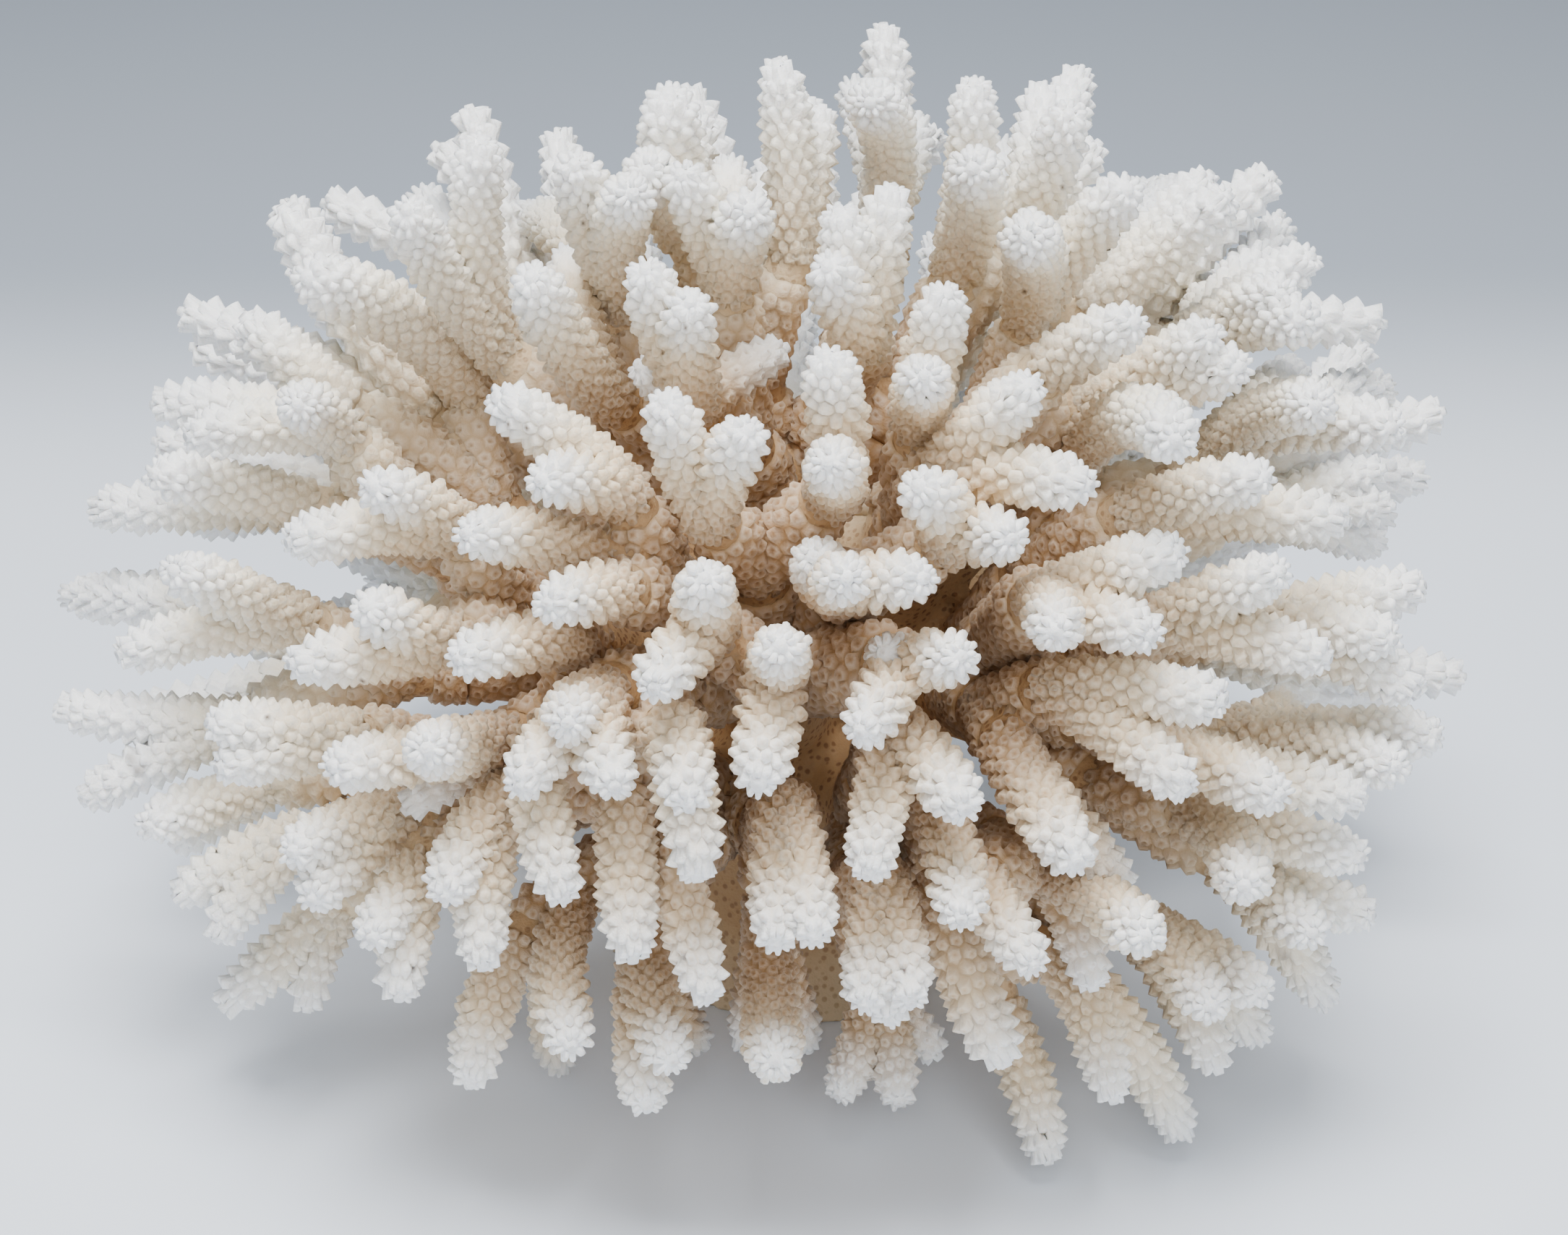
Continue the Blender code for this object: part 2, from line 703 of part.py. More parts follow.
def build():
    """Make the stump, the limbs and the branches, each cut clear of those before it."""
    for thing in list(bpy.data.objects):
        bpy.data.objects.remove(thing)
    coral = bpy.data.collections.new("finger_coral")
    workshop = bpy.data.collections.new("cutters")
    bpy.context.scene.collection.children.link(coral)
    bpy.context.scene.collection.children.link(workshop)
    tan = coral_material("tan_coral", TAN_STUMP)
    white = coral_material("white_coral", WHITE_TIPS)

    branches = all_branches()
    ends = limb_ends(branches)
    bones = joined(branches, ends)
    make_room(bones)
    shares = partings(bones)

    tubes = {branch.name: [] for branch in branches}
    trunk_tubes = [stump_body()] + [limb_tube(end) for end in ends.values()]
    for rod in bones.rods:
        first = 0.0
        if rod.kind == "stem":
            trunk_tubes.append(rod_tube(bones, rod, 0.0, shares[rod.branch]))
            first = stem_seat(bones, rod, shares[rod.branch])
        tubes[rod.branch].append(rod_tube(bones, rod, first, 1.0))

    pieces = [fused("trunk", trunk_tubes, workshop)]
    pieces += [fused(name, parts, workshop) for name, parts in tubes.items()]
    for number, thing in enumerate(pieces):
        cut_clear(thing, pieces[:number], workshop)
    simplify(pieces[0], TRUNK_TRIANGLES)
    flatten_foot(pieces[0].data)
    for thing in pieces[1:]:
        simplify(thing, TRIANGLES * len(tubes[thing.name]))
    for number, thing in enumerate(pieces):
        cut_clear(thing, pieces[:number], workshop)
        finish(thing, coral, workshop, white if number else tan)


build()
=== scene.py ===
"""The looks of the finger coral: its cups, its skin, the floor, the light and the view."""
import math
from collections import namedtuple

import bmesh
import bpy
import numpy as np
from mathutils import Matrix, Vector


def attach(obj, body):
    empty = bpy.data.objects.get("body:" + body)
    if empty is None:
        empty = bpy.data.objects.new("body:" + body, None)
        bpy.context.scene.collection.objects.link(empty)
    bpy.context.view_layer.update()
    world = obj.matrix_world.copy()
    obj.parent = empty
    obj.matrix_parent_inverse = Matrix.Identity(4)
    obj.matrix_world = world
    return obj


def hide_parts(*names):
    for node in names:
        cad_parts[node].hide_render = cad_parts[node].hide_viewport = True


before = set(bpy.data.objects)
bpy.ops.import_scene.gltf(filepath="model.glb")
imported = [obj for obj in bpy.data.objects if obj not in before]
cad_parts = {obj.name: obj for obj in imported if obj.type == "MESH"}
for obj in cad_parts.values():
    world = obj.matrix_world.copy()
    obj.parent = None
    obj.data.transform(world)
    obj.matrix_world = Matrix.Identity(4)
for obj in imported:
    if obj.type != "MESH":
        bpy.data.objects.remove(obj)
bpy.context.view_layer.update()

# Whole colony
DOME_HALF_WIDTH = 0.127
DOME_HALF_DEPTH = 0.104
DOME_HALF_HEIGHT = 0.103
CENTRE = Vector((0.0, 0.0, 0.070))
LOWEST_TIP = 0.0055

# Stump, from the flat cut upwards: height and radius of each ring
STUMP_RINGS = ((0.000, 0.036), (0.010, 0.032), (0.026, 0.028), (0.042, 0.024), (0.054, 0.013))
STUMP_SIDES = 14
STUMP_MIDDLE_Y = 0.008
STUMP_WAVE = 0.08
HEART = Vector((0.0, 0.008, 0.036))

# Limbs, and the rods of a branch: radii at their starts, past their middles and at their ends
LIMB_RADIUS = (0.0115, 0.0105, 0.0095)
ROD_RADIUS = {
    "stem": (0.0076, 0.0068, 0.0060),
    "arm": (0.0060, 0.0055, 0.0050),
    "finger": (0.0041, 0.0044, 0.0025),
}
STATIONS = (0.0, 0.58, 1.0)
BEND_REACH = 0.45
BEND_HEADING = 0.6
LIMB_RISE = 0.3

# How far out each fork lies, as shares
LIMB_REACH = 0.42
STEM_REACH = 0.62
FORK_DEPTH = 0.74

# Where a branch is parted from the trunk: past the place, as a share of its stem,
# where the stem stands clear of all the other stems
FIRST_PARTING = 0.35
LAST_PARTING = 0.80
PARTING_STEPS = 10
STEM_ROOM = 0.0162

# Room between the rods
ROD_ROOM = 0.0012
ROOM_ROUNDS = 60
ROOM_STATIONS = (0.35, 0.6, 0.8, 1.0)
LONGEST_SLIDE = 0.015
FREE_STEM = 0.6
SHOVE = 0.25
NUDGE = 0.5
TINY = 1e-9

# Skin: the coral under and between the cups. Grains are the sizes of its net.
SKIN_GRAIN = 0.0017
TRUNK_GRAIN = 0.0019
SKIN_SIDES = 10
SKIN_STEPS = 6
SKIN_SMOOTHING = 4
SKIN_SMOOTHNESS = 0.5
SKIN_KEPT = 0.42
TRUNK_KEPT = 0.5
SKIN_RADIUS = {"stem": (0.0073, 0.0064, 0.0056), "arm": (0.0053, 0.0049, 0.0046)}
ROOT_RADIUS = (0.0040, 0.0034, 0.0022)
ROOT_SHARES = (0.0, 0.14, 0.30)
LIMB_SIDES = 14
SEAT_DEPTH = 0.004
SKIN_SHRINK = 0.0003

# Cups on each rod: how many stand around it, how far apart the rows are, and the
# radius under the cups, by distance from a finger's tip or by share of an arm or stem
CUPS_ROUND = {"finger": 10, "arm": 10, "stem": 12, "foot": 12}
CUP_PITCH = {"finger": 0.00235, "arm": 0.0028, "stem": 0.0030, "foot": 0.0030}
HIDDEN_PITCH = 1.5
FEWEST_ROWS = 3
CORE_AT = (0.0, 0.0012, 0.003, 0.007, 0.014, 0.026, 0.040)
CORE_RADIUS = (0.0011, 0.0020, 0.0026, 0.0030, 0.0033, 0.0035, 0.0036)
CORE_SHARES = (0.0, 0.12, 0.88, 1.0)
CORE_OF = {
    "arm": (0.0045, 0.0051, 0.0048, 0.0040),
    "stem": (0.0062, 0.0068, 0.0058, 0.0050),
    "foot": (0.0060, 0.0069, 0.0067, 0.0062),
}
END_ROOM = 0.0025
LONGEST_END = 0.4
FOOT_START = 0.42
LAST_EDGE = 0.0002
SLOPE_STEP = 0.0005

# A rod's middle line: its points, and the side of it that is taken where it is straight
COURSE_POINTS = 41
NEARLY_STRAIGHT = 0.02
SPARE_SIDE = (0.3, 0.5, 0.81)

# The form of a cup, by how far out on the dome it stands
CUP_SHARES = (0.36, 0.58, 0.78, 0.94)
CUP_HEIGHT = (0.0003, 0.0007, 0.0012, 0.0016)
PIT_LEVEL = (-0.0007, -0.0006, -0.0003, 0.0002)
MOUTH_WIDTH = (0.46, 0.55, 0.68, 0.76)
MOUTH_LENGTH = (0.24, 0.27, 0.32, 0.36)
MOUTH_ALONG = (-1.0, -0.7, 0.7, 1.0, 0.7, -0.7)
MOUTH_ACROSS = (0.0, -0.87, -0.87, 0.0, 0.87, 0.87)
CUP_LEAN = (0.15, 0.30, 0.50, 0.62)
LIP_STRETCH = (0.05, 0.10, 0.12, 0.10)
TIP_LEAN = math.radians(26.0)
TIP_REACH = 0.006
TIP_SHORTER = 0.45
TIP_SHORT_REACH = 0.0025
TIP_CUP_HEIGHT = 0.0008
TIP_CUP_RADIUS = 0.0008
TIP_CUP_FOOT = 1.25
TIP_CUP_SINK = 0.0001
TIP_CUP_PIT = 0.35
WHITE_REACH = 0.012
LIP_WHITE = 0.2

# How unevenly the cups grow: shifts as shares of a row, turns and leans in radians, and
# the least and the most of each scale
SEED = 20
ROD_WIDTHS = (0.94, 1.06)
EDGE_SHIFT = 0.12
EDGE_TURN = 0.05
EDGE_RADII = (0.95, 1.01)
CUP_SHIFT = 0.20
CUP_TURN = 0.10
CUP_SWAY = 0.14
CUP_HEIGHTS = (0.65, 1.3)
CUP_SIZES = (0.85, 1.12)

# Colours
TAN_CENTRE = (CENTRE[0], CENTRE[1] - 0.026, CENTRE[2])
TAN_WIDTH = 0.9
TIP_WHITE = (0.95, 0.95, 0.94, 1.0)
FINGER_CREAM = (0.90, 0.83, 0.69, 1.0)
ARM_TAN = (0.74, 0.59, 0.39, 1.0)
# Deep tan of the colony's inside: partly the coral's own tan, partly painted shade of the recesses
# between the fingers
DEEP_TAN_AND_SHADE = (0.48, 0.30, 0.15, 1.0)
# Brown painted shade inside the cups' pits and the skin's holes
PAINTED_PIT_SHADE = (0.28, 0.15, 0.07, 1.0)
DIRT_BROWN = (0.10, 0.065, 0.04, 1.0)
FLOOR_COLOUR = (0.80, 0.86, 0.95, 1.0)
# The backdrop's grey is painted shade, where the light falls off towards the back
SHADED_WALL_COLOUR = (0.39, 0.435, 0.50, 1.0)
OUTWARD_COLOURS = ((0.52, DEEP_TAN_AND_SHADE), (0.73, ARM_TAN), (0.90, FINGER_CREAM), (1.0, TIP_WHITE))
CLOUD_SCALE = 38.0
CLOUD_REACH = 0.18

# The coral's surface, the holes of its bare skin, and how far out on the dome the pits and holes carry
# brown painted shade
CORAL_SURFACE = {
    "Roughness": 0.6,
    "Specular IOR Level": 0.3,
    "Subsurface Weight": 0.3,
    "Subsurface Radius": (1.0, 0.8, 0.6),
    "Subsurface Scale": 0.0014,
}
FLOOR_SURFACE = {"Roughness": 0.55}
HOLE_SCALE = 640.0
HOLE_UNEVENNESS = 0.7
HOLE_RIM = 0.40
HOLE_MIDDLE = 0.24
HOLE_RELIEF = -0.7
SWELL_RELIEF = -1.2
PIT_SHARPNESS = 1.7
PIT_SHADE_ENDS = 0.90
PIT_SHADE_FULL = 0.36
GRAIN_SCALE = 1900.0
RELIEF_STRENGTH = 0.4
RELIEF_DEPTH = 0.0005

# Dirt that the view shows: brown stains with their size, and dark specks, in pixels
STAINS_PX = ((183, 1045, 10), (190, 1065, 9), (1074, 104, 8), (1510, 525, 9), (1778, 1325, 10))
SPECKS_PX = (
    (698, 582), (725, 600), (950, 447), (377, 990), (495, 940),
    (1405, 410), (1473, 255), (1683, 513), (795, 314),
)
SPECK_REACH_PX = 14.0
STAIN_STRENGTH = 0.7
STAIN_EDGE = 1.3
SEEN_DEPTH = 0.003
NOWHERE = 1e9

# The floor and the backdrop that it runs up into
FLOOR_HALF_WIDTH = 3.0
FLOOR_FRONT = -2.0
SWEEP_START = 2.4
SWEEP_RADIUS = 0.35
SWEEP_STEPS = 12
WALL_TOP = 2.2
# Where the floor greys into the backdrop's painted shade
SHADE_FROM = 0.18
SHADE_TO = 0.40

# Soft boxes with their places, sizes and powers, and the pale surround
SOFT_BOXES = {
    "soft_box_above": ((-0.05, -0.20, 1.1), 0.6, 23.0),
    "soft_box_front": ((0.2, -1.2, 0.75), 1.0, 11.0),
}
SURROUND_COLOUR = (0.88, 0.94, 1.0, 1.0)
SURROUND_STRENGTH = 0.40

# The view that the fingers' places are read in
IMAGE_SIZE = (2169, 1708)
VIEW_CENTRE_PX = (1092.0, 850.0)
VIEW_FOCAL_PX = 3644.0
VIEW_DISTANCE = 0.480
VIEW_ELEVATION = math.radians(27.0)

# Each limb's branches. A branch is a list of forks, and a fork is its own place and
# the tips of its fingers, in pixels of the view. A tip may add how far forward it
# lies on the dome, from 1 at the front to -1 at the back, and its relative width.
LIMBS = {
    "left": (
        (((430, 700), ((130, 708), (213, 655))),
         ((475, 600), ((262, 603), (215, 560), (412, 560, 0.9)))),
        (((480, 565), ((340, 440, 0.5, 1.15),)),
         ((650, 540), ((425, 385, 1, 1.15), (487, 510, -0.5)))),
        (((640, 735), ((402, 750), (515, 672))),
         ((625, 885), ((405, 918), (505, 838)))),
        (((420, 860), ((95, 825), (240, 788), (168, 905))),
         ((340, 995), ((80, 980), (115, 1105)))),
    ),
    "left_front": (
        (((490, 1020), ((292, 1000), (305, 1062))),
         ((370, 1085), ((205, 1142), (240, 1168, 0.2)))),
        (((700, 1020), ((460, 1060), (590, 1035), (562, 1120, 0.6))),
         ((800, 895), ((635, 912),))),
        (((430, 1150), ((245, 1240), (300, 1298))),
         ((470, 1250), ((310, 1393, 0), (425, 1395, 0)))),
        (((560, 1125), ((405, 1178), (432, 1245))),
         ((590, 1200), ((515, 1297), (552, 1378)))),
    ),
    "front": (
        (((715, 1300), ((650, 1498),)),
         ((800, 1230), ((790, 1446), (775, 1480, 0)))),
        (((715, 1090), ((668, 1335), (615, 1240))),
         ((750, 1020), ((780, 1242),)),
         ((868, 1050), ((875, 1325),)),
         ((930, 1000), ((965, 1213), (953, 1115)))),
        (((905, 1260), ((895, 1530), (930, 1467), (968, 1440, 0))),
         ((925, 1150), ((980, 1380),))),
        (((1085, 1110), ((1072, 1306), (1128, 1298))),
         ((1062, 1240), ((1072, 1468), (1030, 1450, 0.1), (1118, 1450, 0.1)))),
    ),
    "front_right": (
        (((1235, 1010), ((1200, 1208), (1335, 1118, 1, 1.15))),
         ((1265, 1080), ((1330, 1270), (1270, 1268, 0.3)))),
        (((1215, 1210), ((1195, 1390), (1230, 1410), (1260, 1385))),
         ((1215, 1350), ((1160, 1513, 0.3), (1243, 1523, 0.3), (1297, 1460, 0.1)))),
        (((1450, 1200), ((1585, 1295), (1512, 1365, 0.6))),
         ((1360, 1220), ((1430, 1337),)),
         ((1305, 1215), ((1390, 1470, 1, 1.15),))),
        (((1385, 1390), ((1450, 1605),)),
         ((1450, 1310), ((1540, 1520), (1635, 1570)))),
        (((1560, 1270), ((1675, 1392), (1685, 1480), (1745, 1372), (1745, 1437, 0))),),
    ),
    "right": (
        (((1680, 620), ((1820, 562), (1925, 592), (1915, 540, -0.5), (1785, 525, -0.6))),
         ((1700, 715), ((1925, 700, -0.2), (1912, 648, -0.2), (1910, 755, -0.4)))),
        (((1480, 640), ((1628, 610), (1545, 585, 0.4))),
         ((1560, 710), ((1750, 660), (1860, 720)))),
        (((1440, 830), ((1630, 762), (1592, 880), (1460, 875))),),
        (((1600, 860), ((1770, 790), (1835, 910))),
         ((1720, 860), ((1965, 810), (1925, 885), (1957, 955)))),
        (((1700, 1010), ((1985, 1015), (1930, 1060), (1770, 972, -0.2))),
         ((1610, 1035), ((1770, 1100), (1885, 1105)))),
        (((1650, 1120), ((1880, 1185), (1720, 1225), (1690, 1115, -0.3))),
         ((1690, 1190), ((1895, 1265), (1815, 1290), (1835, 1385)))),
        (((1450, 950), ((1690, 968), (1640, 1092))),
         ((1390, 1030), ((1490, 1192, 1, 1.15), (1555, 1230, 0.7)))),
    ),
    "top_right": (
        (((1420, 440), ((1560, 262), (1598, 280, -0.5), (1420, 328))),
         ((1510, 435), ((1672, 243), (1697, 272), (1620, 268, -0.6)))),
        (((1650, 470), ((1767, 312, -0.4), (1812, 355), (1772, 408), (1797, 445), (1620, 415, -0.4))),),
        (((1450, 510), ((1570, 445),)),
         ((1500, 560), ((1715, 508), (1675, 462)))),
        (((1270, 590), ((1310, 405), (1278, 520))),
         ((1300, 655), ((1430, 530), (1505, 672)))),
    ),
    "top": (
        (((700, 500), ((667, 195), (563, 290), (665, 328, -0.4))),),
        (((850, 560), ((735, 383), (785, 348, 0.3))),
         ((865, 430), ((795, 228), (876, 268), (738, 303, -0.4)))),
        (((965, 560), ((893, 372), (955, 418), (1085, 482, 0.6), (885, 505, 0.7))),
         ((1010, 400), ((942, 242), (1010, 225, 0.4), (1037, 292)))),
        (((950, 330), ((925, 130, 1, 1.2), (968, 162, 0.4), (895, 238))),
         ((1095, 360), ((1075, 88), (1137, 150, 0.5)))),
        (((1190, 480), ((1235, 262), (1160, 292), (1144, 368))),
         ((1225, 300), ((1222, 38), (1203, 142), (1268, 172, -0.5), (1178, 118, -0.6)))),
        (((1320, 380), ((1347, 115), (1345, 232), (1362, 285, -0.4))),
         ((1400, 340), ((1490, 98), (1440, 120, 0.2), (1478, 158), (1518, 200, 0.2)))),
    ),
    "middle": (
        (((830, 770), ((645, 738),)),
         ((860, 815), ((758, 835),)),
         ((870, 690), ((748, 665), (688, 550)))),
        (((835, 960), ((718, 1088), (785, 1000), (850, 1088))),),
        (((1070, 930), ((1048, 1085, 1, 1.1), (1080, 893))),
         ((985, 870), ((975, 800), (905, 952)))),
        (((1240, 920), ((1330, 908), (1190, 1012), (1222, 903, 0.85))),),
        (((1150, 810), ((1125, 770, 0.9), (1172, 800), (1278, 800))),
         ((1310, 745), ((1270, 672), (1400, 745)))),
        (((985, 720), ((920, 552), (1037, 595))),
         ((1150, 690), ((1142, 492), (1145, 640)))),
    ),
}

# The far side, which the view doesn't show: the direction of each branch in degrees, as
# an angle round from straight back and an angle up, and the number of its forks
HIDDEN_BRANCHES = {
    "back_left": ((-66, -6, 3), (-64, 34, 3), (-22, -8, 3), (-22, 34, 3), (-43, 8, 1)),
    "back_right": ((22, -8, 3), (22, 34, 3), (66, -6, 3), (0, 5, 1), (42, 5, 1)),
    "right": ((67, 29, 3),),
}
BACK_FORK_SPREAD = 14.0
BACK_FINGER_SPREAD = 8.5
BACK_FORK_SHARE = 0.64

# Camera
SENSOR_WIDTH = 36.0
NEAREST_SEEN = 0.01
FARTHEST_SEEN = 20.0

# A branch has its name, the limb that it grows from, and its forks. A fork has its place,
# the line that it may slide along, and its fingers. A finger has its tip, the line that
# the tip may slide along, and its relative width. A rod has its kind, its branch's name,
# its joints and its relative width: it runs from the second joint to the third, and
# leaves in line with the first.
Branch = namedtuple("Branch", "name limb forks")
Fork = namedtuple("Fork", "place slide fingers")
Finger = namedtuple("Finger", "tip slide width")
Rod = namedtuple("Rod", "kind branch joints width")


class Skeleton:
    """The joints of all the branches and the rods between them."""

    def __init__(self):
        self.places = []
        self.slides = []
        self.loose = []
        self.rods = []

    def add_joint(self, place, slide=None, loose=True):
        """Add a joint that may move, along a line if it has one, and return its number."""
        self.places.append(place[:])
        self.slides.append(slide[:] if slide else (0.0, 0.0, 0.0))
        self.loose.append(loose)
        return len(self.places) - 1

    def add_rod(self, kind, branch, joints, width=1.0):
        """Add a rod, from the joint before it, its first joint and its last."""
        self.rods.append(Rod(kind, branch, joints, width))


def eye_point():
    """The place that the view looks from."""
    back = Vector((0.0, -math.cos(VIEW_ELEVATION), math.sin(VIEW_ELEVATION)))
    return CENTRE + VIEW_DISTANCE * back


def view_axis():
    """The direction that the view looks in."""
    return Vector((0.0, math.cos(VIEW_ELEVATION), -math.sin(VIEW_ELEVATION)))


def sight_line(pixel):
    """Direction from the eye through a pixel, of length 1 along the view axis."""
    up = Vector((0.0, math.sin(VIEW_ELEVATION), math.cos(VIEW_ELEVATION)))
    across = (pixel[0] - VIEW_CENTRE_PX[0]) / VIEW_FOCAL_PX
    above = (VIEW_CENTRE_PX[1] - pixel[1]) / VIEW_FOCAL_PX
    return view_axis() + Vector((across, 0.0, 0.0)) + above * up


def above_floor(point, line):
    """The point, moved along its sight line until it is as high as the lowest tip."""
    if point.z >= LOWEST_TIP:
        return point
    return point + line * ((LOWEST_TIP - point.z) / line.z)


def tip_on_dome(pixel, forward):
    """Where a pixel's sight line meets the dome that the tips end on."""
    half = Vector((DOME_HALF_WIDTH, DOME_HALF_DEPTH, DOME_HALF_HEIGHT))
    eye = eye_point()
    line = sight_line(pixel)
    start = Vector([(eye[i] - CENTRE[i]) / half[i] for i in range(3)])
    step = Vector([line[i] / half[i] for i in range(3)])
    nearest = -start.dot(step) / step.length_squared
    miss = (start + nearest * step).length_squared
    inside = math.sqrt(max(0.0, 1.0 - miss)) / step.length
    return above_floor(eye + line * (nearest - forward * inside), line)


def fork_in_view(pixel, tips):
    """A fork on its pixel's sight line, part of the way forward to its tips."""
    eye = eye_point()
    depth = sum((tip - eye).dot(view_axis()) for tip in tips) / len(tips)
    depth = VIEW_DISTANCE + FORK_DEPTH * (depth - VIEW_DISTANCE)
    line = sight_line(pixel)
    return above_floor(eye + line * depth, line)


def seen_forks(branch):
    """The forks of a branch that is read from the view."""
    forks = []
    for place, tips in branch:
        fingers = []
        for tip in tips:
            forward = tip[2] if len(tip) > 2 else 1.0
            width = tip[3] if len(tip) > 3 else 1.0
            slide = sight_line(tip[:2]).normalized()
            fingers.append(Finger(tip_on_dome(tip[:2], forward), slide, width))
        fork = fork_in_view(place, [finger.tip for finger in fingers])
        forks.append(Fork(fork, sight_line(place).normalized(), fingers))
    return forks


def dome_point(round_angle, up_angle, share):
    """A point on the dome, at a share of the way out, by its angles from straight back."""
    sideways = math.radians(round_angle)
    upwards = math.radians(up_angle)
    out = Vector((
        DOME_HALF_WIDTH * math.sin(sideways) * math.cos(upwards),
        DOME_HALF_DEPTH * math.cos(sideways) * math.cos(upwards),
        DOME_HALF_HEIGHT * math.sin(upwards),
    ))
    point = CENTRE + share * out
    point.z = max(point.z, LOWEST_TIP)
    return point


def spread_angles(middle, spread, turn):
    """Three directions round a middle one."""
    angles = []
    for third in range(3):
        angle = turn + third * math.tau / 3.0
        widen = 1.0 / math.cos(math.radians(middle[1]))
        sideways = middle[0] + spread * widen * math.cos(angle)
        angles.append((sideways, middle[1] + spread * math.sin(angle)))
    return angles


def hidden_forks(middle, count, number):
    """The forks of a branch on the far side, three or one, with three fingers each."""
    forks = []
    places = spread_angles(middle, BACK_FORK_SPREAD, 0.5 + 1.1 * number) if count > 1 else [middle]
    for place in places:
        turn = 0.9 + 1.7 * number + 0.6 * len(forks)
        tips = [dome_point(*tip, 1.0) for tip in spread_angles(place, BACK_FINGER_SPREAD, turn)]
        fork = dome_point(*place, BACK_FORK_SHARE)
        forks.append(Fork(fork, None, [Finger(tip, None, 1.0) for tip in tips]))
    return forks


def all_branches():
    """Every branch of the coral."""
    branches = []
    for limb, seen in LIMBS.items():
        for number, branch in enumerate(seen, start=1):
            branches.append(Branch(f"branch_{limb}_{number}", limb, seen_forks(branch)))
    for limb, hidden in HIDDEN_BRANCHES.items():
        for number, (*middle, count) in enumerate(hidden, start=1 + len(LIMBS.get(limb, ()))):
            forks = hidden_forks(middle, count, number)
            branches.append(Branch(f"branch_{limb}_{number}", limb, forks))
    return branches


def limb_ends(branches):
    """Each limb's end, part of the way out to the forks of its branches."""
    ends = {}
    for limb in LIMBS | HIDDEN_BRANCHES:
        places = [fork.place for branch in branches if branch.limb == limb for fork in branch.forks]
        ends[limb] = HEART.lerp(sum(places, Vector()) / len(places), LIMB_REACH)
    return ends


def joined(branches, ends):
    """The skeleton of all the branches."""
    bones = Skeleton()
    heart = bones.add_joint(HEART, loose=False)
    limbs = {limb: bones.add_joint(end, loose=False) for limb, end in ends.items()}
    for branch in branches:
        limb = limbs[branch.limb]
        places = [fork.place for fork in branch.forks]
        middle = sum(places, Vector()) / len(places)
        if len(places) > 1:
            parting = bones.add_joint(ends[branch.limb].lerp(middle, STEM_REACH))
            bones.add_rod("stem", branch.name, (heart, limb, parting))
        for fork in branch.forks:
            place = bones.add_joint(fork.place, fork.slide)
            if len(places) > 1:
                bones.add_rod("arm", branch.name, (limb, parting, place))
                before = parting
            else:
                bones.add_rod("stem", branch.name, (heart, limb, place))
                before = limb
            for finger in fork.fingers:
                tip = bones.add_joint(finger.tip, finger.slide)
                bones.add_rod("finger", branch.name, (before, place, tip), finger.width)
    return bones


def rod_radius(rod, share):
    """A rod's radius at a share of its length."""
    return float(np.interp(share, STATIONS, ROD_RADIUS[rod.kind])) * rod.width


def on_curves(places, joints, share):
    """The points at one share of the way along every rod."""
    before, start, end = (places[joints[:, column]] for column in range(3))
    heading = start - before
    chord = end - start
    length = np.linalg.norm(chord, axis=1, keepdims=True)
    lean = BEND_HEADING * heading / np.linalg.norm(heading, axis=1, keepdims=True) + chord / length
    middle = start + BEND_REACH * length * lean / np.linalg.norm(lean, axis=1, keepdims=True)
    return (1 - share) ** 2 * start + 2 * share * (1 - share) * middle + share ** 2 * end


def crowding(places, joints, radii, stems, linked):
    """How hard the rods push each joint where they are too near each other."""
    push = np.zeros_like(places)
    points = {share: on_curves(places, joints, share) for share in ROOM_STATIONS}
    for mine in ROOM_STATIONS:
        for other in ROOM_STATIONS:
            apart = points[mine][:, None, :] - points[other][None, :, :]
            distance = np.linalg.norm(apart, axis=2) + TINY
            room = radii[mine][:, None] + radii[other][None, :] + ROD_ROOM
            short = np.clip(room - distance, 0.0, None)
            if min(mine, other) < 1.0:
                short[linked] = 0.0
            if mine < FREE_STEM:
                short[stems] = 0.0
            if other < FREE_STEM:
                short[:, stems] = 0.0
            np.fill_diagonal(short, 0.0)
            shove = SHOVE * np.sum(short[:, :, None] * apart / distance[:, :, None], axis=1)
            np.add.at(push, joints[:, 2], mine * shove)
            np.add.at(push, joints[:, 1], (1.0 - mine) * shove)
    return push


def make_room(bones):
    """Move the joints until the rods stand clear of each other.

    A joint that is seen in the view slides along its sight line and so stays where
    the view shows it.
    """
    places = np.array(bones.places)
    first_places = places.copy()
    slides = np.array(bones.slides)
    loose = np.array(bones.loose)[:, None]
    sliding = np.any(slides != 0.0, axis=1)[:, None]
    joints = np.array([rod.joints for rod in bones.rods])
    radii = {share: np.array([rod_radius(rod, share) for rod in bones.rods]) for share in ROOM_STATIONS}
    stems = np.array([rod.kind == "stem" for rod in bones.rods])
    linked = (joints[:, None, 1:, None] == joints[None, :, None, 1:]).any(axis=(2, 3))
    for _ in range(ROOM_ROUNDS):
        push = crowding(places, joints, radii, stems, linked)
        onward = np.sum(push * slides, axis=1, keepdims=True)
        size = np.linalg.norm(push, axis=1, keepdims=True)
        onward += NUDGE * np.where(onward >= 0.0, size, -size)
        places += loose * np.where(sliding, onward * slides, push)
        moved = places - first_places
        length = np.linalg.norm(moved, axis=1, keepdims=True)
        places = first_places + moved * np.minimum(1.0, LONGEST_SLIDE / np.maximum(length, TINY))
        places[:, 2] = np.maximum(places[:, 2], LOWEST_TIP)
    bones.places = [Vector(place) for place in places]


def bend(start, heading, end, share):
    """A point on a curve that leaves start along heading and ends at end."""
    chord = end - start
    lean = BEND_HEADING * heading.normalized() + chord.normalized()
    middle = start + BEND_REACH * chord.length * lean.normalized()
    return (1 - share) ** 2 * start + 2 * share * (1 - share) * middle + share ** 2 * end


def rod_point(bones, rod, share):
    """A point at a share of the way along a rod."""
    before, start, end = (bones.places[joint] for joint in rod.joints)
    return bend(start, start - before, end, share)


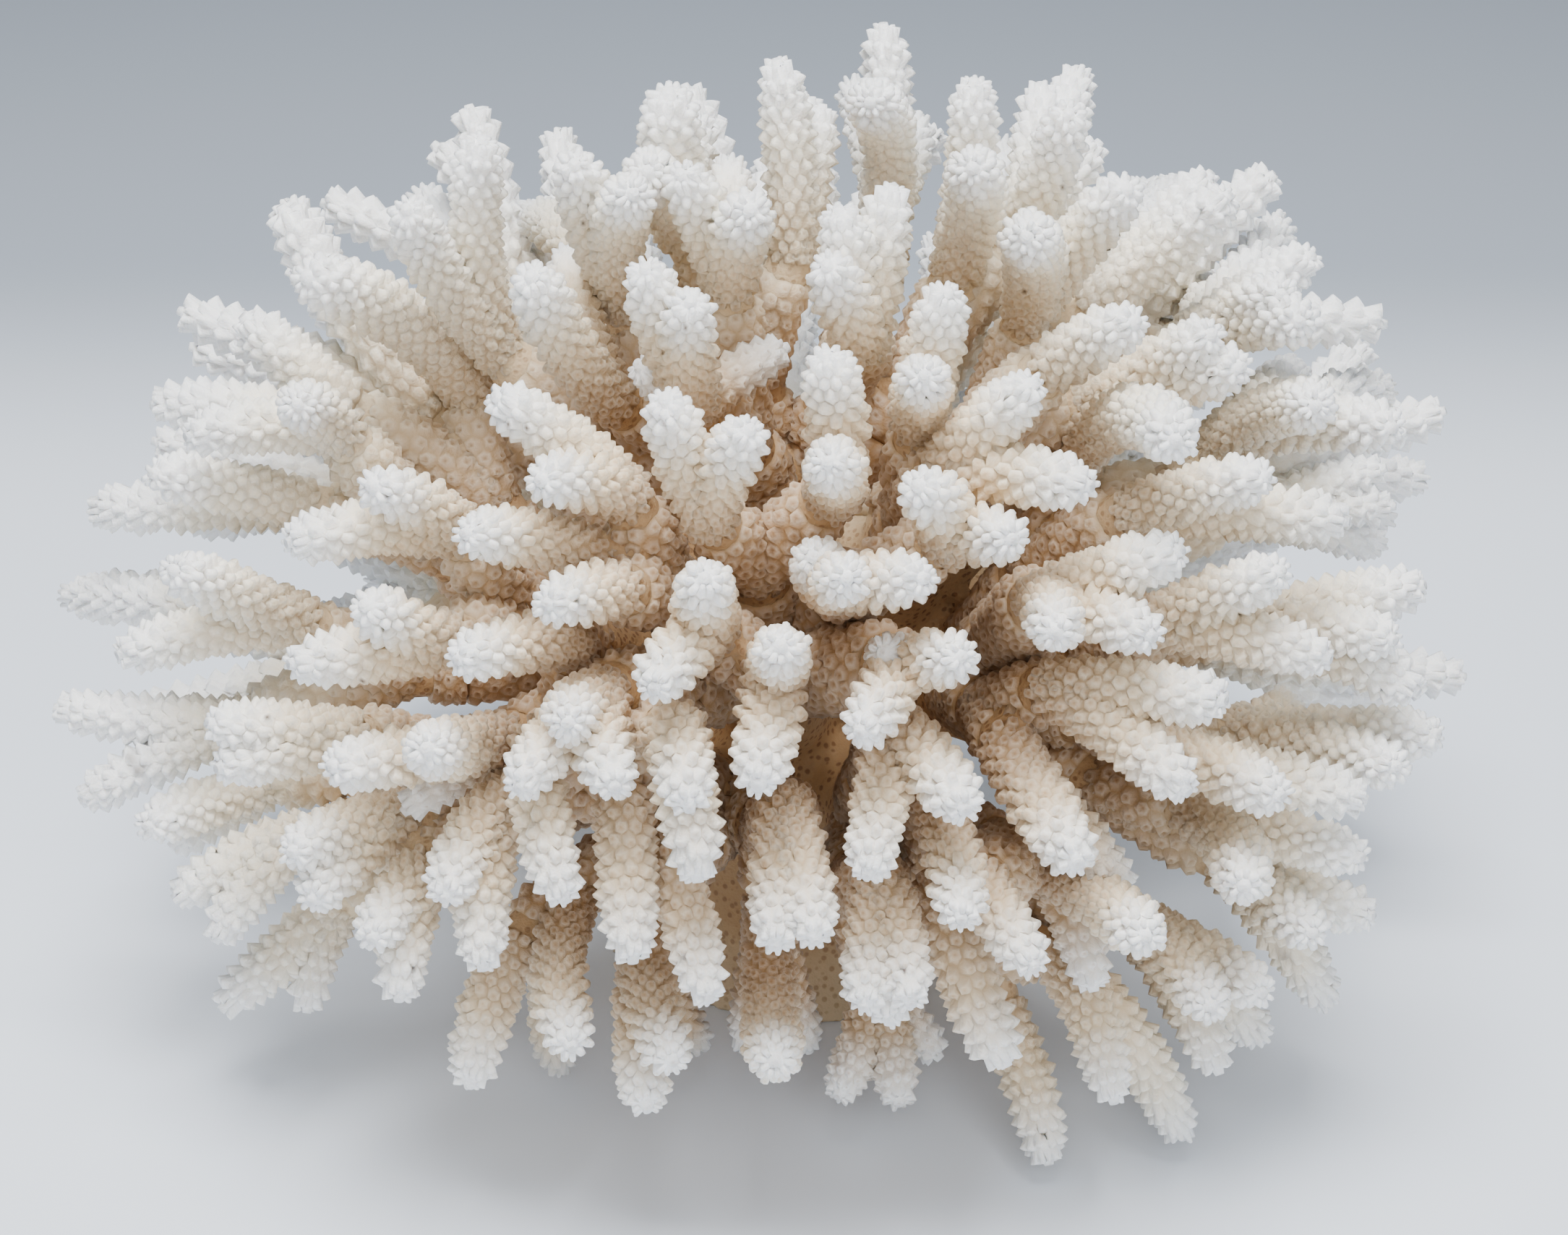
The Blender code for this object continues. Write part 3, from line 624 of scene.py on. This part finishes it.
def partings(bones):
    """For each branch, the share of its stem past which it is clear of the others."""
    steps = [number / PARTING_STEPS for number in range(PARTING_STEPS + 1)]
    stems = [rod for rod in bones.rods if rod.kind == "stem"]
    lines = [np.array([rod_point(bones, rod, share)[:] for share in steps]) for rod in stems]
    shares = {}
    for number, rod in enumerate(stems):
        others = np.concatenate(lines[:number] + lines[number + 1:])
        apart = np.linalg.norm(lines[number][:, None, :] - others[None, :, :], axis=2).min(axis=1)
        crowded = [step for step, distance in zip(steps, apart) if distance < STEM_ROOM]
        shares[rod.branch] = min(max([FIRST_PARTING] + crowded), LAST_PARTING)
    return shares


def placed(name, data):
    """A new object with its data, in the scene."""
    thing = bpy.data.objects.new(name, data)
    bpy.context.scene.collection.objects.link(thing)
    return thing


def bridged(shape, ring, last_ring):
    """The edges of a ring of points, once it is bridged to the last ring's."""
    edges = list({edge for vert in ring for edge in vert.link_edges})
    if last_ring:
        bmesh.ops.bridge_loops(shape, edges=last_ring + edges)
    return edges


def tube(points, radii, sides):
    """A closed tube through points, as a bmesh."""
    shape = bmesh.new()
    last_ring = None
    for number, (point, radius) in enumerate(zip(points, radii)):
        before = points[max(number - 1, 0)]
        after = points[min(number + 1, len(points) - 1)]
        frame_here = (after - before).to_track_quat("Z", "Y").to_matrix().to_4x4()
        frame_here.translation = point
        end = number in (0, len(points) - 1)
        ring = bmesh.ops.create_circle(
            shape, cap_ends=end, segments=sides, radius=radius, matrix=frame_here)["verts"]
        last_ring = bridged(shape, ring, last_ring)
    bmesh.ops.recalc_face_normals(shape, faces=shape.faces)
    return shape


def curve_tube(point_at, first, last, shares, radii, width, sides):
    """A stretch of a curve as a smooth tube, with its radii at the given shares."""
    steps = [first + (last - first) * number / SKIN_STEPS for number in range(SKIN_STEPS + 1)]
    widths = [float(np.interp(step, shares, radii)) * width - SKIN_SHRINK for step in steps]
    return tube([point_at(step) for step in steps], widths, sides)


def rod_tube(bones, rod, first, last, shares, radii):
    """A stretch of a rod as a smooth tube."""
    return curve_tube(
        lambda step: rod_point(bones, rod, step), first, last, shares, radii, rod.width, SKIN_SIDES)


def limb_tube(end):
    """A limb of the trunk as a smooth tube."""
    heading = (end - HEART).normalized() + Vector((0.0, 0.0, LIMB_RISE))
    return curve_tube(
        lambda step: bend(HEART, heading, end, step), 0.0, 1.0, STATIONS, LIMB_RADIUS, 1.0, LIMB_SIDES)


def stump_body():
    """The stump: a fluted root that narrows upwards, cut off flat at the bottom."""
    shape = bmesh.new()
    last_ring = None
    for height, radius in STUMP_RINGS:
        end = height in (STUMP_RINGS[0][0], STUMP_RINGS[-1][0])
        ring = bmesh.ops.create_circle(
            shape, cap_ends=end, segments=4 * STUMP_SIDES, radius=radius)["verts"]
        for vert in ring:
            angle = math.atan2(vert.co.y, vert.co.x)
            flute = 1.0 + STUMP_WAVE * math.cos(3.0 * angle + 1.0) * math.cos(2.0 * angle)
            vert.co = (vert.co.x * flute, vert.co.y * flute + STUMP_MIDDLE_Y, height)
        last_ring = bridged(shape, ring, last_ring)
    bmesh.ops.recalc_face_normals(shape, faces=shape.faces)
    return shape


def skin(name, tubes, grain, kept):
    """Tubes grown together into one smooth closed skin, as a mesh."""
    whole = bmesh.new()
    for shape in tubes:
        mesh = bpy.data.meshes.new("tube")
        shape.to_mesh(mesh)
        shape.free()
        whole.from_mesh(mesh)
        bpy.data.meshes.remove(mesh)
    mesh = bpy.data.meshes.new(name)
    whole.to_mesh(mesh)
    whole.free()
    thing = placed(name, mesh)
    knit = thing.modifiers.new("knit", "REMESH")
    knit.mode = "VOXEL"
    knit.voxel_size = grain
    smooth = thing.modifiers.new("smooth", "SMOOTH")
    smooth.factor = SKIN_SMOOTHNESS
    smooth.iterations = SKIN_SMOOTHING
    thin = thing.modifiers.new("thin", "DECIMATE")
    thin.ratio = kept
    graph = bpy.context.evaluated_depsgraph_get()
    made = bpy.data.meshes.new_from_object(thing.evaluated_get(graph))
    bpy.data.objects.remove(thing)
    return made


class Course:
    """A stretch of a rod's middle line by its length, with a frame that doesn't twist."""

    def __init__(self, bones, rod, first, last):
        shares = np.linspace(first, last, COURSE_POINTS)
        self.points = np.array([rod_point(bones, rod, share)[:] for share in shares])
        steps = np.linalg.norm(np.diff(self.points, axis=0), axis=1)
        self.lengths = np.concatenate(([0.0], np.cumsum(steps)))
        self.length = self.lengths[-1]
        tangents = np.gradient(self.points, axis=0)
        self.tangents = tangents / np.linalg.norm(tangents, axis=1, keepdims=True)
        across = np.cross(self.tangents[0], self.tangents[-1])
        if np.linalg.norm(across) < NEARLY_STRAIGHT:
            across = np.cross(self.tangents[0], SPARE_SIDE)
        self.across = across / np.linalg.norm(across)

    def read(self, table, lengths):
        """A table of vectors read at lengths along the rod."""
        columns = [np.interp(lengths, self.lengths, table[:, axis]) for axis in range(3)]
        return np.stack(columns, axis=-1)

    def at(self, lengths):
        """Middle points and along, side and across directions at lengths along the rod."""
        along = unit(self.read(self.tangents, lengths))
        across = unit(self.across - np.sum(self.across * along, axis=-1, keepdims=True) * along)
        return self.read(self.points, lengths), along, np.cross(across, along), across


def unit(vectors):
    """Vectors brought to length 1."""
    return vectors / np.linalg.norm(vectors, axis=-1, keepdims=True)


def around(course, lengths, angles):
    """Middle points, outward, along and sideways directions at lengths and angles."""
    middle, along, side, across = course.at(lengths)
    outward = np.cos(angles)[..., None] * side + np.sin(angles)[..., None] * across
    return middle, outward, along, np.cross(along, outward)


def dome_share(points):
    """How far out on the dome points lie: 0 at its centre, 1 where the tips end."""
    half = np.array((DOME_HALF_WIDTH, DOME_HALF_DEPTH, DOME_HALF_HEIGHT))
    return np.linalg.norm((points - np.array(CENTRE)) / half, axis=-1)


class Lattice:
    """Staggered rows of cups around a rod: their count, their spacing and the core under them."""

    def __init__(self, course, kind, width, stretch, chance):
        self.course = course
        self.kind = kind
        self.round = CUPS_ROUND[kind]
        self.top = course.length
        if kind in ("arm", "stem"):
            self.top -= min(END_ROOM, LONGEST_END * course.length)
        self.rows = max(FEWEST_ROWS, round(self.top / (CUP_PITCH[kind] * stretch)))
        self.pitch = self.top / self.rows
        self.width = width * chance.uniform(*ROD_WIDTHS)
        self.turn = chance.uniform(0.0, math.tau)

    def core(self, lengths):
        """The rod's radius under its cups at lengths along it."""
        if self.kind == "finger":
            return self.width * np.interp(self.top - lengths, CORE_AT, CORE_RADIUS)
        return np.interp(lengths / self.top, CORE_SHARES, CORE_OF[self.kind])

    def edge_points(self, chance):
        """The corners that neighbouring cups share, row by row."""
        row_of = np.arange(self.rows + 1)[:, None]
        place = np.arange(2 * self.round)[None, :]
        own = (place % 2) == (row_of % 2)
        lengths = self.pitch * (row_of + 0.5 - np.where(own, 2.0 / 3.0, 1.0 / 3.0))
        lengths = np.clip(lengths, 0.0, self.top - LAST_EDGE)
        shift = chance.uniform(-EDGE_SHIFT, EDGE_SHIFT, lengths.shape) * self.pitch
        lengths = np.clip(lengths + shift, 0.0, None)
        turn = chance.uniform(-EDGE_TURN, EDGE_TURN, lengths.shape)
        angles = self.turn + place * math.pi / self.round + turn
        middle, outward = around(self.course, lengths, angles)[:2]
        radii = self.core(lengths) * chance.uniform(*EDGE_RADII, lengths.shape)
        return (middle + radii[..., None] * outward).reshape(-1, 3)

    def cup_points(self, chance):
        """The six corners of each cup's mouth, and the middle of its pit."""
        row_of = np.repeat(np.arange(self.rows), self.round)
        place = np.tile(np.arange(self.round), self.rows)
        lengths = self.pitch * (row_of + 0.5 + chance.uniform(-CUP_SHIFT, CUP_SHIFT, row_of.shape))
        angles = self.turn + (2 * place + row_of % 2) * math.pi / self.round
        angles = angles + chance.uniform(-CUP_TURN, CUP_TURN, row_of.shape)
        radii = self.core(lengths)
        growth = self.core(lengths + SLOPE_STEP) - self.core(lengths - SLOPE_STEP)
        slope = growth / (2.0 * SLOPE_STEP)
        middle, outward, along, sideways = around(self.course, lengths, angles)
        normal = unit(outward - slope[:, None] * along)
        surface_up = np.cross(normal, sideways)
        root = middle + radii[:, None] * outward
        share = dome_share(root)
        lean = np.interp(share, CUP_SHARES, CUP_LEAN)
        lean = lean + chance.uniform(-CUP_SWAY, CUP_SWAY, row_of.shape)
        shorter = 1.0
        if self.kind == "finger":
            lean = lean + TIP_LEAN * np.exp(-(self.top - lengths) / TIP_REACH)
            shorter = 1.0 - TIP_SHORTER * np.exp(-(self.top - lengths) / TIP_SHORT_REACH)
        axis = np.cos(lean)[:, None] * normal + np.sin(lean)[:, None] * surface_up
        height = shorter * np.interp(share, CUP_SHARES, CUP_HEIGHT)
        height = height * chance.uniform(*CUP_HEIGHTS, row_of.shape)
        mouth_up = unit(surface_up - np.sum(surface_up * axis, axis=1, keepdims=True) * axis)
        mouth_side = np.cross(mouth_up, axis)
        scale = chance.uniform(*CUP_SIZES, row_of.shape)
        wide = np.interp(share, CUP_SHARES, MOUTH_WIDTH) * math.pi * radii / self.round * scale
        long = np.interp(share, CUP_SHARES, MOUTH_LENGTH) * self.pitch * scale
        stretch = np.interp(share, CUP_SHARES, LIP_STRETCH)
        mouths = []
        for up, over in zip(MOUTH_ALONG, MOUTH_ACROSS):
            lip = height * (1.0 - stretch * up)
            rim = (long * up)[:, None] * mouth_up - (wide * over)[:, None] * mouth_side
            mouths.append(root + lip[:, None] * axis + rim)
        pits = root + (height + np.interp(share, CUP_SHARES, PIT_LEVEL))[:, None] * axis
        return np.stack(mouths, axis=1).reshape(-1, 3), pits

    def cup_faces(self):
        """The faces of the cups: six walls and a pit of six for each."""
        ring = 2 * self.round
        first_mouth = (self.rows + 1) * ring
        first_pit = first_mouth + self.rows * self.round * 6
        faces = []
        for row in range(self.rows):
            for place in range(self.round):
                middle = 2 * place + row % 2
                low = [row * ring + (middle + step) % ring for step in (-1, 0, 1)]
                high = [(row + 1) * ring + (middle + step) % ring for step in (1, 0, -1)]
                edge = [low[1], low[2], high[0], high[1], high[2], low[0]]
                cup = row * self.round + place
                mouth = [first_mouth + 6 * cup + corner for corner in range(6)]
                for corner in range(6):
                    following = (corner + 1) % 6
                    faces.append((edge[corner], edge[following], mouth[following], mouth[corner]))
                    faces.append((mouth[corner], mouth[following], first_pit + cup))
        faces.append(tuple(reversed(range(ring))))
        return faces

    def end_points(self):
        """The cup at a finger's very tip: its foot, its rim and its pit."""
        end, along, side, across = self.course.at(np.array([self.top]))
        spin = self.turn + (2 * np.arange(self.round) + (self.rows + 1) % 2) * math.pi / self.round
        spoke = np.cos(spin)[:, None] * side + np.sin(spin)[:, None] * across
        foot = end + TIP_CUP_FOOT * TIP_CUP_RADIUS * self.width * spoke - TIP_CUP_SINK * along
        rim = end + TIP_CUP_RADIUS * self.width * spoke + TIP_CUP_HEIGHT * along
        return np.concatenate((foot, rim, end + TIP_CUP_PIT * TIP_CUP_HEIGHT * along))

    def end_faces(self, first_tip):
        """The faces that close a finger's tip with its last cup."""
        ring = 2 * self.round
        last = self.rows * ring
        faces = []
        for number in range(self.round):
            step = 2 * number + (self.rows + 1) % 2
            before, here, after = (last + (step + way) % ring for way in (-1, 0, 1))
            foot = first_tip + number
            next_foot = first_tip + (number + 1) % self.round
            rim = foot + self.round
            next_rim = next_foot + self.round
            faces += [(before, here, foot), (here, after, foot), (after, next_foot, foot)]
            faces += [(foot, next_foot, next_rim, rim), (rim, next_rim, first_tip + 2 * self.round)]
        return faces


def rod_cups(course, kind, width, stretch, chance):
    """A rod's cups as points and faces, and how much each point is a pit and how white."""
    lattice = Lattice(course, kind, width, stretch, chance)
    edges = lattice.edge_points(chance)
    mouths, pits = lattice.cup_points(chance)
    faces = lattice.cup_faces()
    groups = [(edges, 0.0, 0.0), (mouths, 0.0, LIP_WHITE), (pits, 1.0, 0.0)]
    if kind == "finger":
        faces += lattice.end_faces(len(edges) + len(mouths) + len(pits))
        end = lattice.end_points()
        groups += [(end[:-1], 0.0, LIP_WHITE), (end[-1:], 1.0, LIP_WHITE)]
    else:
        ring = 2 * lattice.round
        faces.append(tuple(range(lattice.rows * ring, (lattice.rows + 1) * ring)))
    points = np.concatenate([group for group, _, _ in groups])
    pit = np.concatenate([np.full(len(group), mark) for group, mark, _ in groups])
    white = np.concatenate([np.full(len(group), lip) for group, _, lip in groups])
    if kind == "finger":
        from_tip = np.linalg.norm(points - course.points[-1], axis=1)
        white += np.clip(1.0 - from_tip / WHITE_REACH, 0.0, 1.0)
    return points, faces, pit, white


def coral_piece(name, skin_mesh, cups):
    """A skin and cups joined into one object, with the pits and the white parts marked."""
    skin_points = np.array([vert.co[:] for vert in skin_mesh.vertices])
    skin_faces = [tuple(face.vertices) for face in skin_mesh.polygons]
    bpy.data.meshes.remove(skin_mesh)
    unmarked = np.zeros(len(skin_points))
    parts = [(skin_points, skin_faces, unmarked, unmarked)] + cups
    faces = []
    count = 0
    for part in parts:
        faces += [tuple(count + corner for corner in face) for face in part[1]]
        count += len(part[0])
    values_of = {
        "pit": np.concatenate([part[2] for part in parts]),
        "white": np.concatenate([part[3] for part in parts]),
        "bare": np.arange(count) < len(skin_points),
        "dirt": np.zeros(count),
    }
    mesh = bpy.data.meshes.new(name)
    mesh.from_pydata(np.concatenate([part[0] for part in parts]).tolist(), [], faces)
    mesh.shade_smooth()
    for label, values in values_of.items():
        layer = mesh.attributes.new(label, "FLOAT", "POINT")
        layer.data.foreach_set("value", values.astype(np.float32))
    return placed(name, mesh)


def read(items, name, width):
    """One value of each item, of so many numbers, as a flat array."""
    values = np.zeros(width * len(items), np.float32)
    items.foreach_get(name, values)
    return values


def in_view(points):
    """Where points lie in the view, in pixels, and how far off they are."""
    away = points - np.array(eye_point())
    up = np.array((0.0, math.sin(VIEW_ELEVATION), math.cos(VIEW_ELEVATION)))
    depth = away @ np.array(view_axis())
    across = VIEW_CENTRE_PX[0] + VIEW_FOCAL_PX * away[:, 0] / depth
    down = VIEW_CENTRE_PX[1] - VIEW_FOCAL_PX * (away @ up) / depth
    return np.stack((across, down), axis=1), depth


def soil(pieces):
    """Mark the dirt: brown stains, and dark specks that each fill one cup."""
    meshes = [piece.data for piece in pieces]
    points = np.concatenate([read(mesh.vertices, "co", 3).reshape(-1, 3) for mesh in meshes])
    pixels, depth = in_view(points.astype(float))
    pit = np.concatenate([read(mesh.attributes["pit"].data, "value", 1) for mesh in meshes])
    dirt = np.zeros(len(pit), np.float32)
    for across, down, size in STAINS_PX:
        near = np.hypot(pixels[:, 0] - across, pixels[:, 1] - down) / size
        front = depth < np.min(np.where(near < 1.0, depth, NOWHERE)) + SEEN_DEPTH
        strength = STAIN_STRENGTH * np.clip(STAIN_EDGE - near, 0.0, 1.0)
        dirt = np.maximum(dirt, np.where(front, strength, 0.0))
    for across, down in SPECKS_PX:
        near = np.hypot(pixels[:, 0] - across, pixels[:, 1] - down)
        front = depth < np.min(np.where(near < SPECK_REACH_PX, depth, NOWHERE)) + SEEN_DEPTH
        chosen = np.argmin(np.where(front & (pit > 0.5), near, NOWHERE))
        dirt[chosen] = 1.0
    first = 0
    for mesh in meshes:
        last = first + len(mesh.vertices)
        mesh.attributes["dirt"].data.foreach_set("value", dirt[first:last].copy())
        first = last


def feed(tree, socket, value):
    """Give a socket a fixed value, or link another socket to it."""
    if isinstance(value, (int, float, tuple)):
        socket.default_value = value
    elif value is not None:
        tree.links.new(value, socket)


def node(tree, kind, **inputs):
    """A new shader node with some of its sockets fed."""
    made = tree.nodes.new(kind)
    for socket, value in inputs.items():
        feed(tree, made.inputs[socket.replace("_", " ")], value)
    return made


def maths(tree, operation, first, second=None, third=None, kind="ShaderNodeMath"):
    """What a maths node gives from sockets or numbers."""
    made = tree.nodes.new(kind)
    made.operation = operation
    for socket, value in zip(made.inputs, (first, second, third)):
        feed(tree, socket, value)
    return made.outputs["Value" if operation == "LENGTH" else 0]


def mixed(tree, factor, first, second):
    """Two colours mixed by a factor."""
    made = tree.nodes.new("ShaderNodeMix")
    made.data_type = "RGBA"
    for socket, value in zip((0, 6, 7), (factor, first, second)):
        feed(tree, made.inputs[socket], value)
    return made.outputs[2]


def ramp(tree, factor, stops):
    """A colour ramp over a factor, with its stops as place and colour."""
    made = node(tree, "ShaderNodeValToRGB", Fac=factor)
    elements = made.color_ramp.elements
    while len(elements) < len(stops):
        elements.new(0.5)
    for element, (place, colour) in zip(elements, stops):
        element.position = place
        element.color = colour
    return made.outputs["Color"]


def attribute(tree, name):
    """The factor output of a mesh attribute."""
    made = tree.nodes.new("ShaderNodeAttribute")
    made.attribute_name = name
    return made.outputs["Fac"]


def outwardness(tree, place):
    """How far out on the dome a place is; the side towards the view stays tan further out."""
    half = (TAN_WIDTH * DOME_HALF_WIDTH, DOME_HALF_DEPTH, DOME_HALF_HEIGHT)
    shifted = maths(tree, "SUBTRACT", place, TAN_CENTRE, kind="ShaderNodeVectorMath")
    scaled = maths(tree, "DIVIDE", shifted, half, kind="ShaderNodeVectorMath")
    return maths(tree, "LENGTH", scaled, kind="ShaderNodeVectorMath")


def new_material(name, surface):
    """A material with its surface's fixed values, its node tree, its shader and its place."""
    material = bpy.data.materials.new(name)
    material.use_nodes = True
    tree = material.node_tree
    shader = tree.nodes["Principled BSDF"]
    for socket, value in surface.items():
        shader.inputs[socket].default_value = value
    place = tree.nodes.new("ShaderNodeTexCoord").outputs["Object"]
    return material, tree, shader, place


def coral_material():
    """Limy skeleton: white at the tips, cream along the fingers, tan below that deepens inwards partly
    by painted shade, and brown painted shade in the pits.
    """
    material, tree, shader, place = new_material("coral_skeleton", CORAL_SURFACE)
    cloud = node(tree, "ShaderNodeTexNoise", Vector=place, Scale=CLOUD_SCALE, Detail=4.0)
    wander = maths(tree, "MULTIPLY_ADD", cloud.outputs["Fac"], CLOUD_REACH, -0.5 * CLOUD_REACH)
    reach = maths(tree, "ADD", outwardness(tree, place), wander)
    whiteness = maths(tree, "MINIMUM", attribute(tree, "white"), 1.0)
    colour = mixed(tree, whiteness, ramp(tree, reach, OUTWARD_COLOURS), TIP_WHITE)

    cells = node(
        tree, "ShaderNodeTexVoronoi", Vector=place, Scale=HOLE_SCALE, Randomness=HOLE_UNEVENNESS)
    distance = cells.outputs["Distance"]
    bare = attribute(tree, "bare")
    hole = node(tree, "ShaderNodeMapRange", Value=distance, From_Min=HOLE_RIM, From_Max=HOLE_MIDDLE)
    holes = maths(tree, "MULTIPLY", hole.outputs["Result"], bare)
    # Painted shade in the pits and holes, which shows only deeper in the colony
    pits = maths(tree, "POWER", attribute(tree, "pit"), PIT_SHARPNESS)
    brown = node(tree, "ShaderNodeMapRange", Value=reach, From_Min=PIT_SHADE_ENDS, From_Max=PIT_SHADE_FULL)
    shade = maths(tree, "MULTIPLY", maths(tree, "MAXIMUM", holes, pits), brown.outputs["Result"])
    pit_shaded = mixed(tree, shade, colour, PAINTED_PIT_SHADE)
    soiled = mixed(tree, attribute(tree, "dirt"), pit_shaded, DIRT_BROWN)
    tree.links.new(soiled, shader.inputs["Base Color"])

    grain = node(tree, "ShaderNodeTexNoise", Vector=place, Scale=GRAIN_SCALE, Detail=2.0)
    swell = maths(tree, "MULTIPLY", distance, bare)
    rough = maths(tree, "MULTIPLY_ADD", swell, SWELL_RELIEF, grain.outputs["Fac"])
    relief = maths(tree, "MULTIPLY_ADD", holes, HOLE_RELIEF, rough)
    bump = node(
        tree, "ShaderNodeBump", Height=relief, Strength=RELIEF_STRENGTH, Distance=RELIEF_DEPTH)
    tree.links.new(bump.outputs["Normal"], shader.inputs["Normal"])
    return material


def floor_material():
    """Plain pale floor, greyed with painted shade towards the backdrop."""
    material, tree, shader, place = new_material("pale_floor", FLOOR_SURFACE)
    split = node(tree, "ShaderNodeSeparateXYZ", Vector=place)
    back = node(
        tree, "ShaderNodeMapRange", Value=split.outputs["Y"], From_Min=SHADE_FROM, From_Max=SHADE_TO)
    back.interpolation_type = "SMOOTHSTEP"
    colour = mixed(tree, back.outputs["Result"], FLOOR_COLOUR, SHADED_WALL_COLOUR)
    tree.links.new(colour, shader.inputs["Base Color"])
    return material


def floor():
    """The floor, which runs up into a backdrop."""
    profile = [(FLOOR_FRONT, 0.0), (SWEEP_START, 0.0)]
    for step in range(1, SWEEP_STEPS + 1):
        angle = step * math.pi / (2 * SWEEP_STEPS)
        back = SWEEP_START + SWEEP_RADIUS * math.sin(angle)
        profile.append((back, SWEEP_RADIUS * (1.0 - math.cos(angle))))
    profile.append((SWEEP_START + SWEEP_RADIUS, WALL_TOP))
    points = [(side, y, z) for y, z in profile for side in (-FLOOR_HALF_WIDTH, FLOOR_HALF_WIDTH)]
    faces = [(2 * n, 2 * n + 1, 2 * n + 3, 2 * n + 2) for n in range(len(profile) - 1)]
    mesh = bpy.data.meshes.new("floor")
    mesh.from_pydata(points, [], faces)
    mesh.shade_smooth()
    mesh.materials.append(floor_material())
    placed("floor", mesh)


def soft_light(name, place, size, power):
    """A square soft box that shines from a place to the coral."""
    light = bpy.data.lights.new(name, "AREA")
    light.size = size
    light.energy = power
    lamp = placed(name, light)
    lamp.location = place
    lamp.rotation_euler = (CENTRE - Vector(place)).to_track_quat("-Z", "Y").to_euler()


def lighting():
    """Soft studio light from above and in front, and a pale surround."""
    for name, (place, size, power) in SOFT_BOXES.items():
        soft_light(name, place, size, power)
    world = bpy.data.worlds.new("surround")
    world.use_nodes = True
    sky = world.node_tree.nodes["Background"]
    sky.inputs["Color"].default_value = SURROUND_COLOUR
    sky.inputs["Strength"].default_value = SURROUND_STRENGTH
    bpy.context.scene.world = world


def camera():
    """The camera, at the viewing angle that the fingers' places are read in."""
    data = bpy.data.cameras.new("camera")
    data.sensor_width = SENSOR_WIDTH
    data.lens = SENSOR_WIDTH * VIEW_FOCAL_PX / IMAGE_SIZE[0]
    data.shift_x = (IMAGE_SIZE[0] / 2.0 - VIEW_CENTRE_PX[0]) / IMAGE_SIZE[0]
    data.shift_y = (VIEW_CENTRE_PX[1] - IMAGE_SIZE[1] / 2.0) / IMAGE_SIZE[0]
    data.clip_start = NEAREST_SEEN
    data.clip_end = FARTHEST_SEEN
    thing = placed("camera", data)
    thing.location = eye_point()
    thing.rotation_euler = view_axis().to_track_quat("-Z", "Y").to_euler()
    bpy.context.scene.camera = thing


def rod_skin(bones, rod, first):
    """The skin of a rod: a stem from its parting on, the whole of an arm, a finger's root."""
    if rod.kind == "finger":
        return rod_tube(bones, rod, 0.0, ROOT_SHARES[-1], ROOT_SHARES, ROOT_RADIUS)
    length = (rod_point(bones, rod, 1.0) - rod_point(bones, rod, 0.0)).length
    seat = max(0.0, first - SEAT_DEPTH / length)
    return rod_tube(bones, rod, seat, 1.0, STATIONS, SKIN_RADIUS[rod.kind])


def grown_pieces():
    """The coral's dressed pieces: the trunk, and each branch with its cups."""
    branches = all_branches()
    ends = limb_ends(branches)
    bones = joined(branches, ends)
    make_room(bones)
    shares = partings(bones)
    chance = np.random.default_rng(SEED)
    hidden = {branch.name for branch in branches if branch.forks[0].slide is None}
    skins = {branch.name: [] for branch in branches}
    cups = {branch.name: [] for branch in branches}
    trunk = [stump_body()] + [limb_tube(end) for end in ends.values()]
    feet = []
    for rod in bones.rods:
        first = shares[rod.branch] if rod.kind == "stem" else 0.0
        skins[rod.branch].append(rod_skin(bones, rod, first))
        if rod.kind == "stem":
            trunk.append(rod_tube(bones, rod, 0.0, first, STATIONS, ROD_RADIUS["stem"]))
        if rod.kind == "stem" and rod.branch not in hidden:
            foot = Course(bones, rod, FOOT_START, first)
            feet.append(rod_cups(foot, "foot", rod.width, 1.0, chance))
        course = Course(bones, rod, first, 1.0)
        stretch = HIDDEN_PITCH if rod.branch in hidden else 1.0
        cups[rod.branch].append(rod_cups(course, rod.kind, rod.width, stretch, chance))
    trunk_skin = skin("trunk_skin", trunk, TRUNK_GRAIN, TRUNK_KEPT)
    pieces = {"trunk": coral_piece("coral_trunk", trunk_skin, feet)}
    for name, tubes in skins.items():
        branch_skin = skin(name, tubes, SKIN_GRAIN, SKIN_KEPT)
        pieces[name] = coral_piece(f"coral_{name}", branch_skin, cups[name])
    return pieces


def build():
    """Grow every piece of the coral over its solid, then set the floor, light and camera."""
    material = coral_material()
    pieces = grown_pieces()
    soil(pieces.values())
    for name, piece in pieces.items():
        piece.data.materials.append(material)
        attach(piece, "root")
        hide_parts(name)
    floor()
    lighting()
    camera()


build()
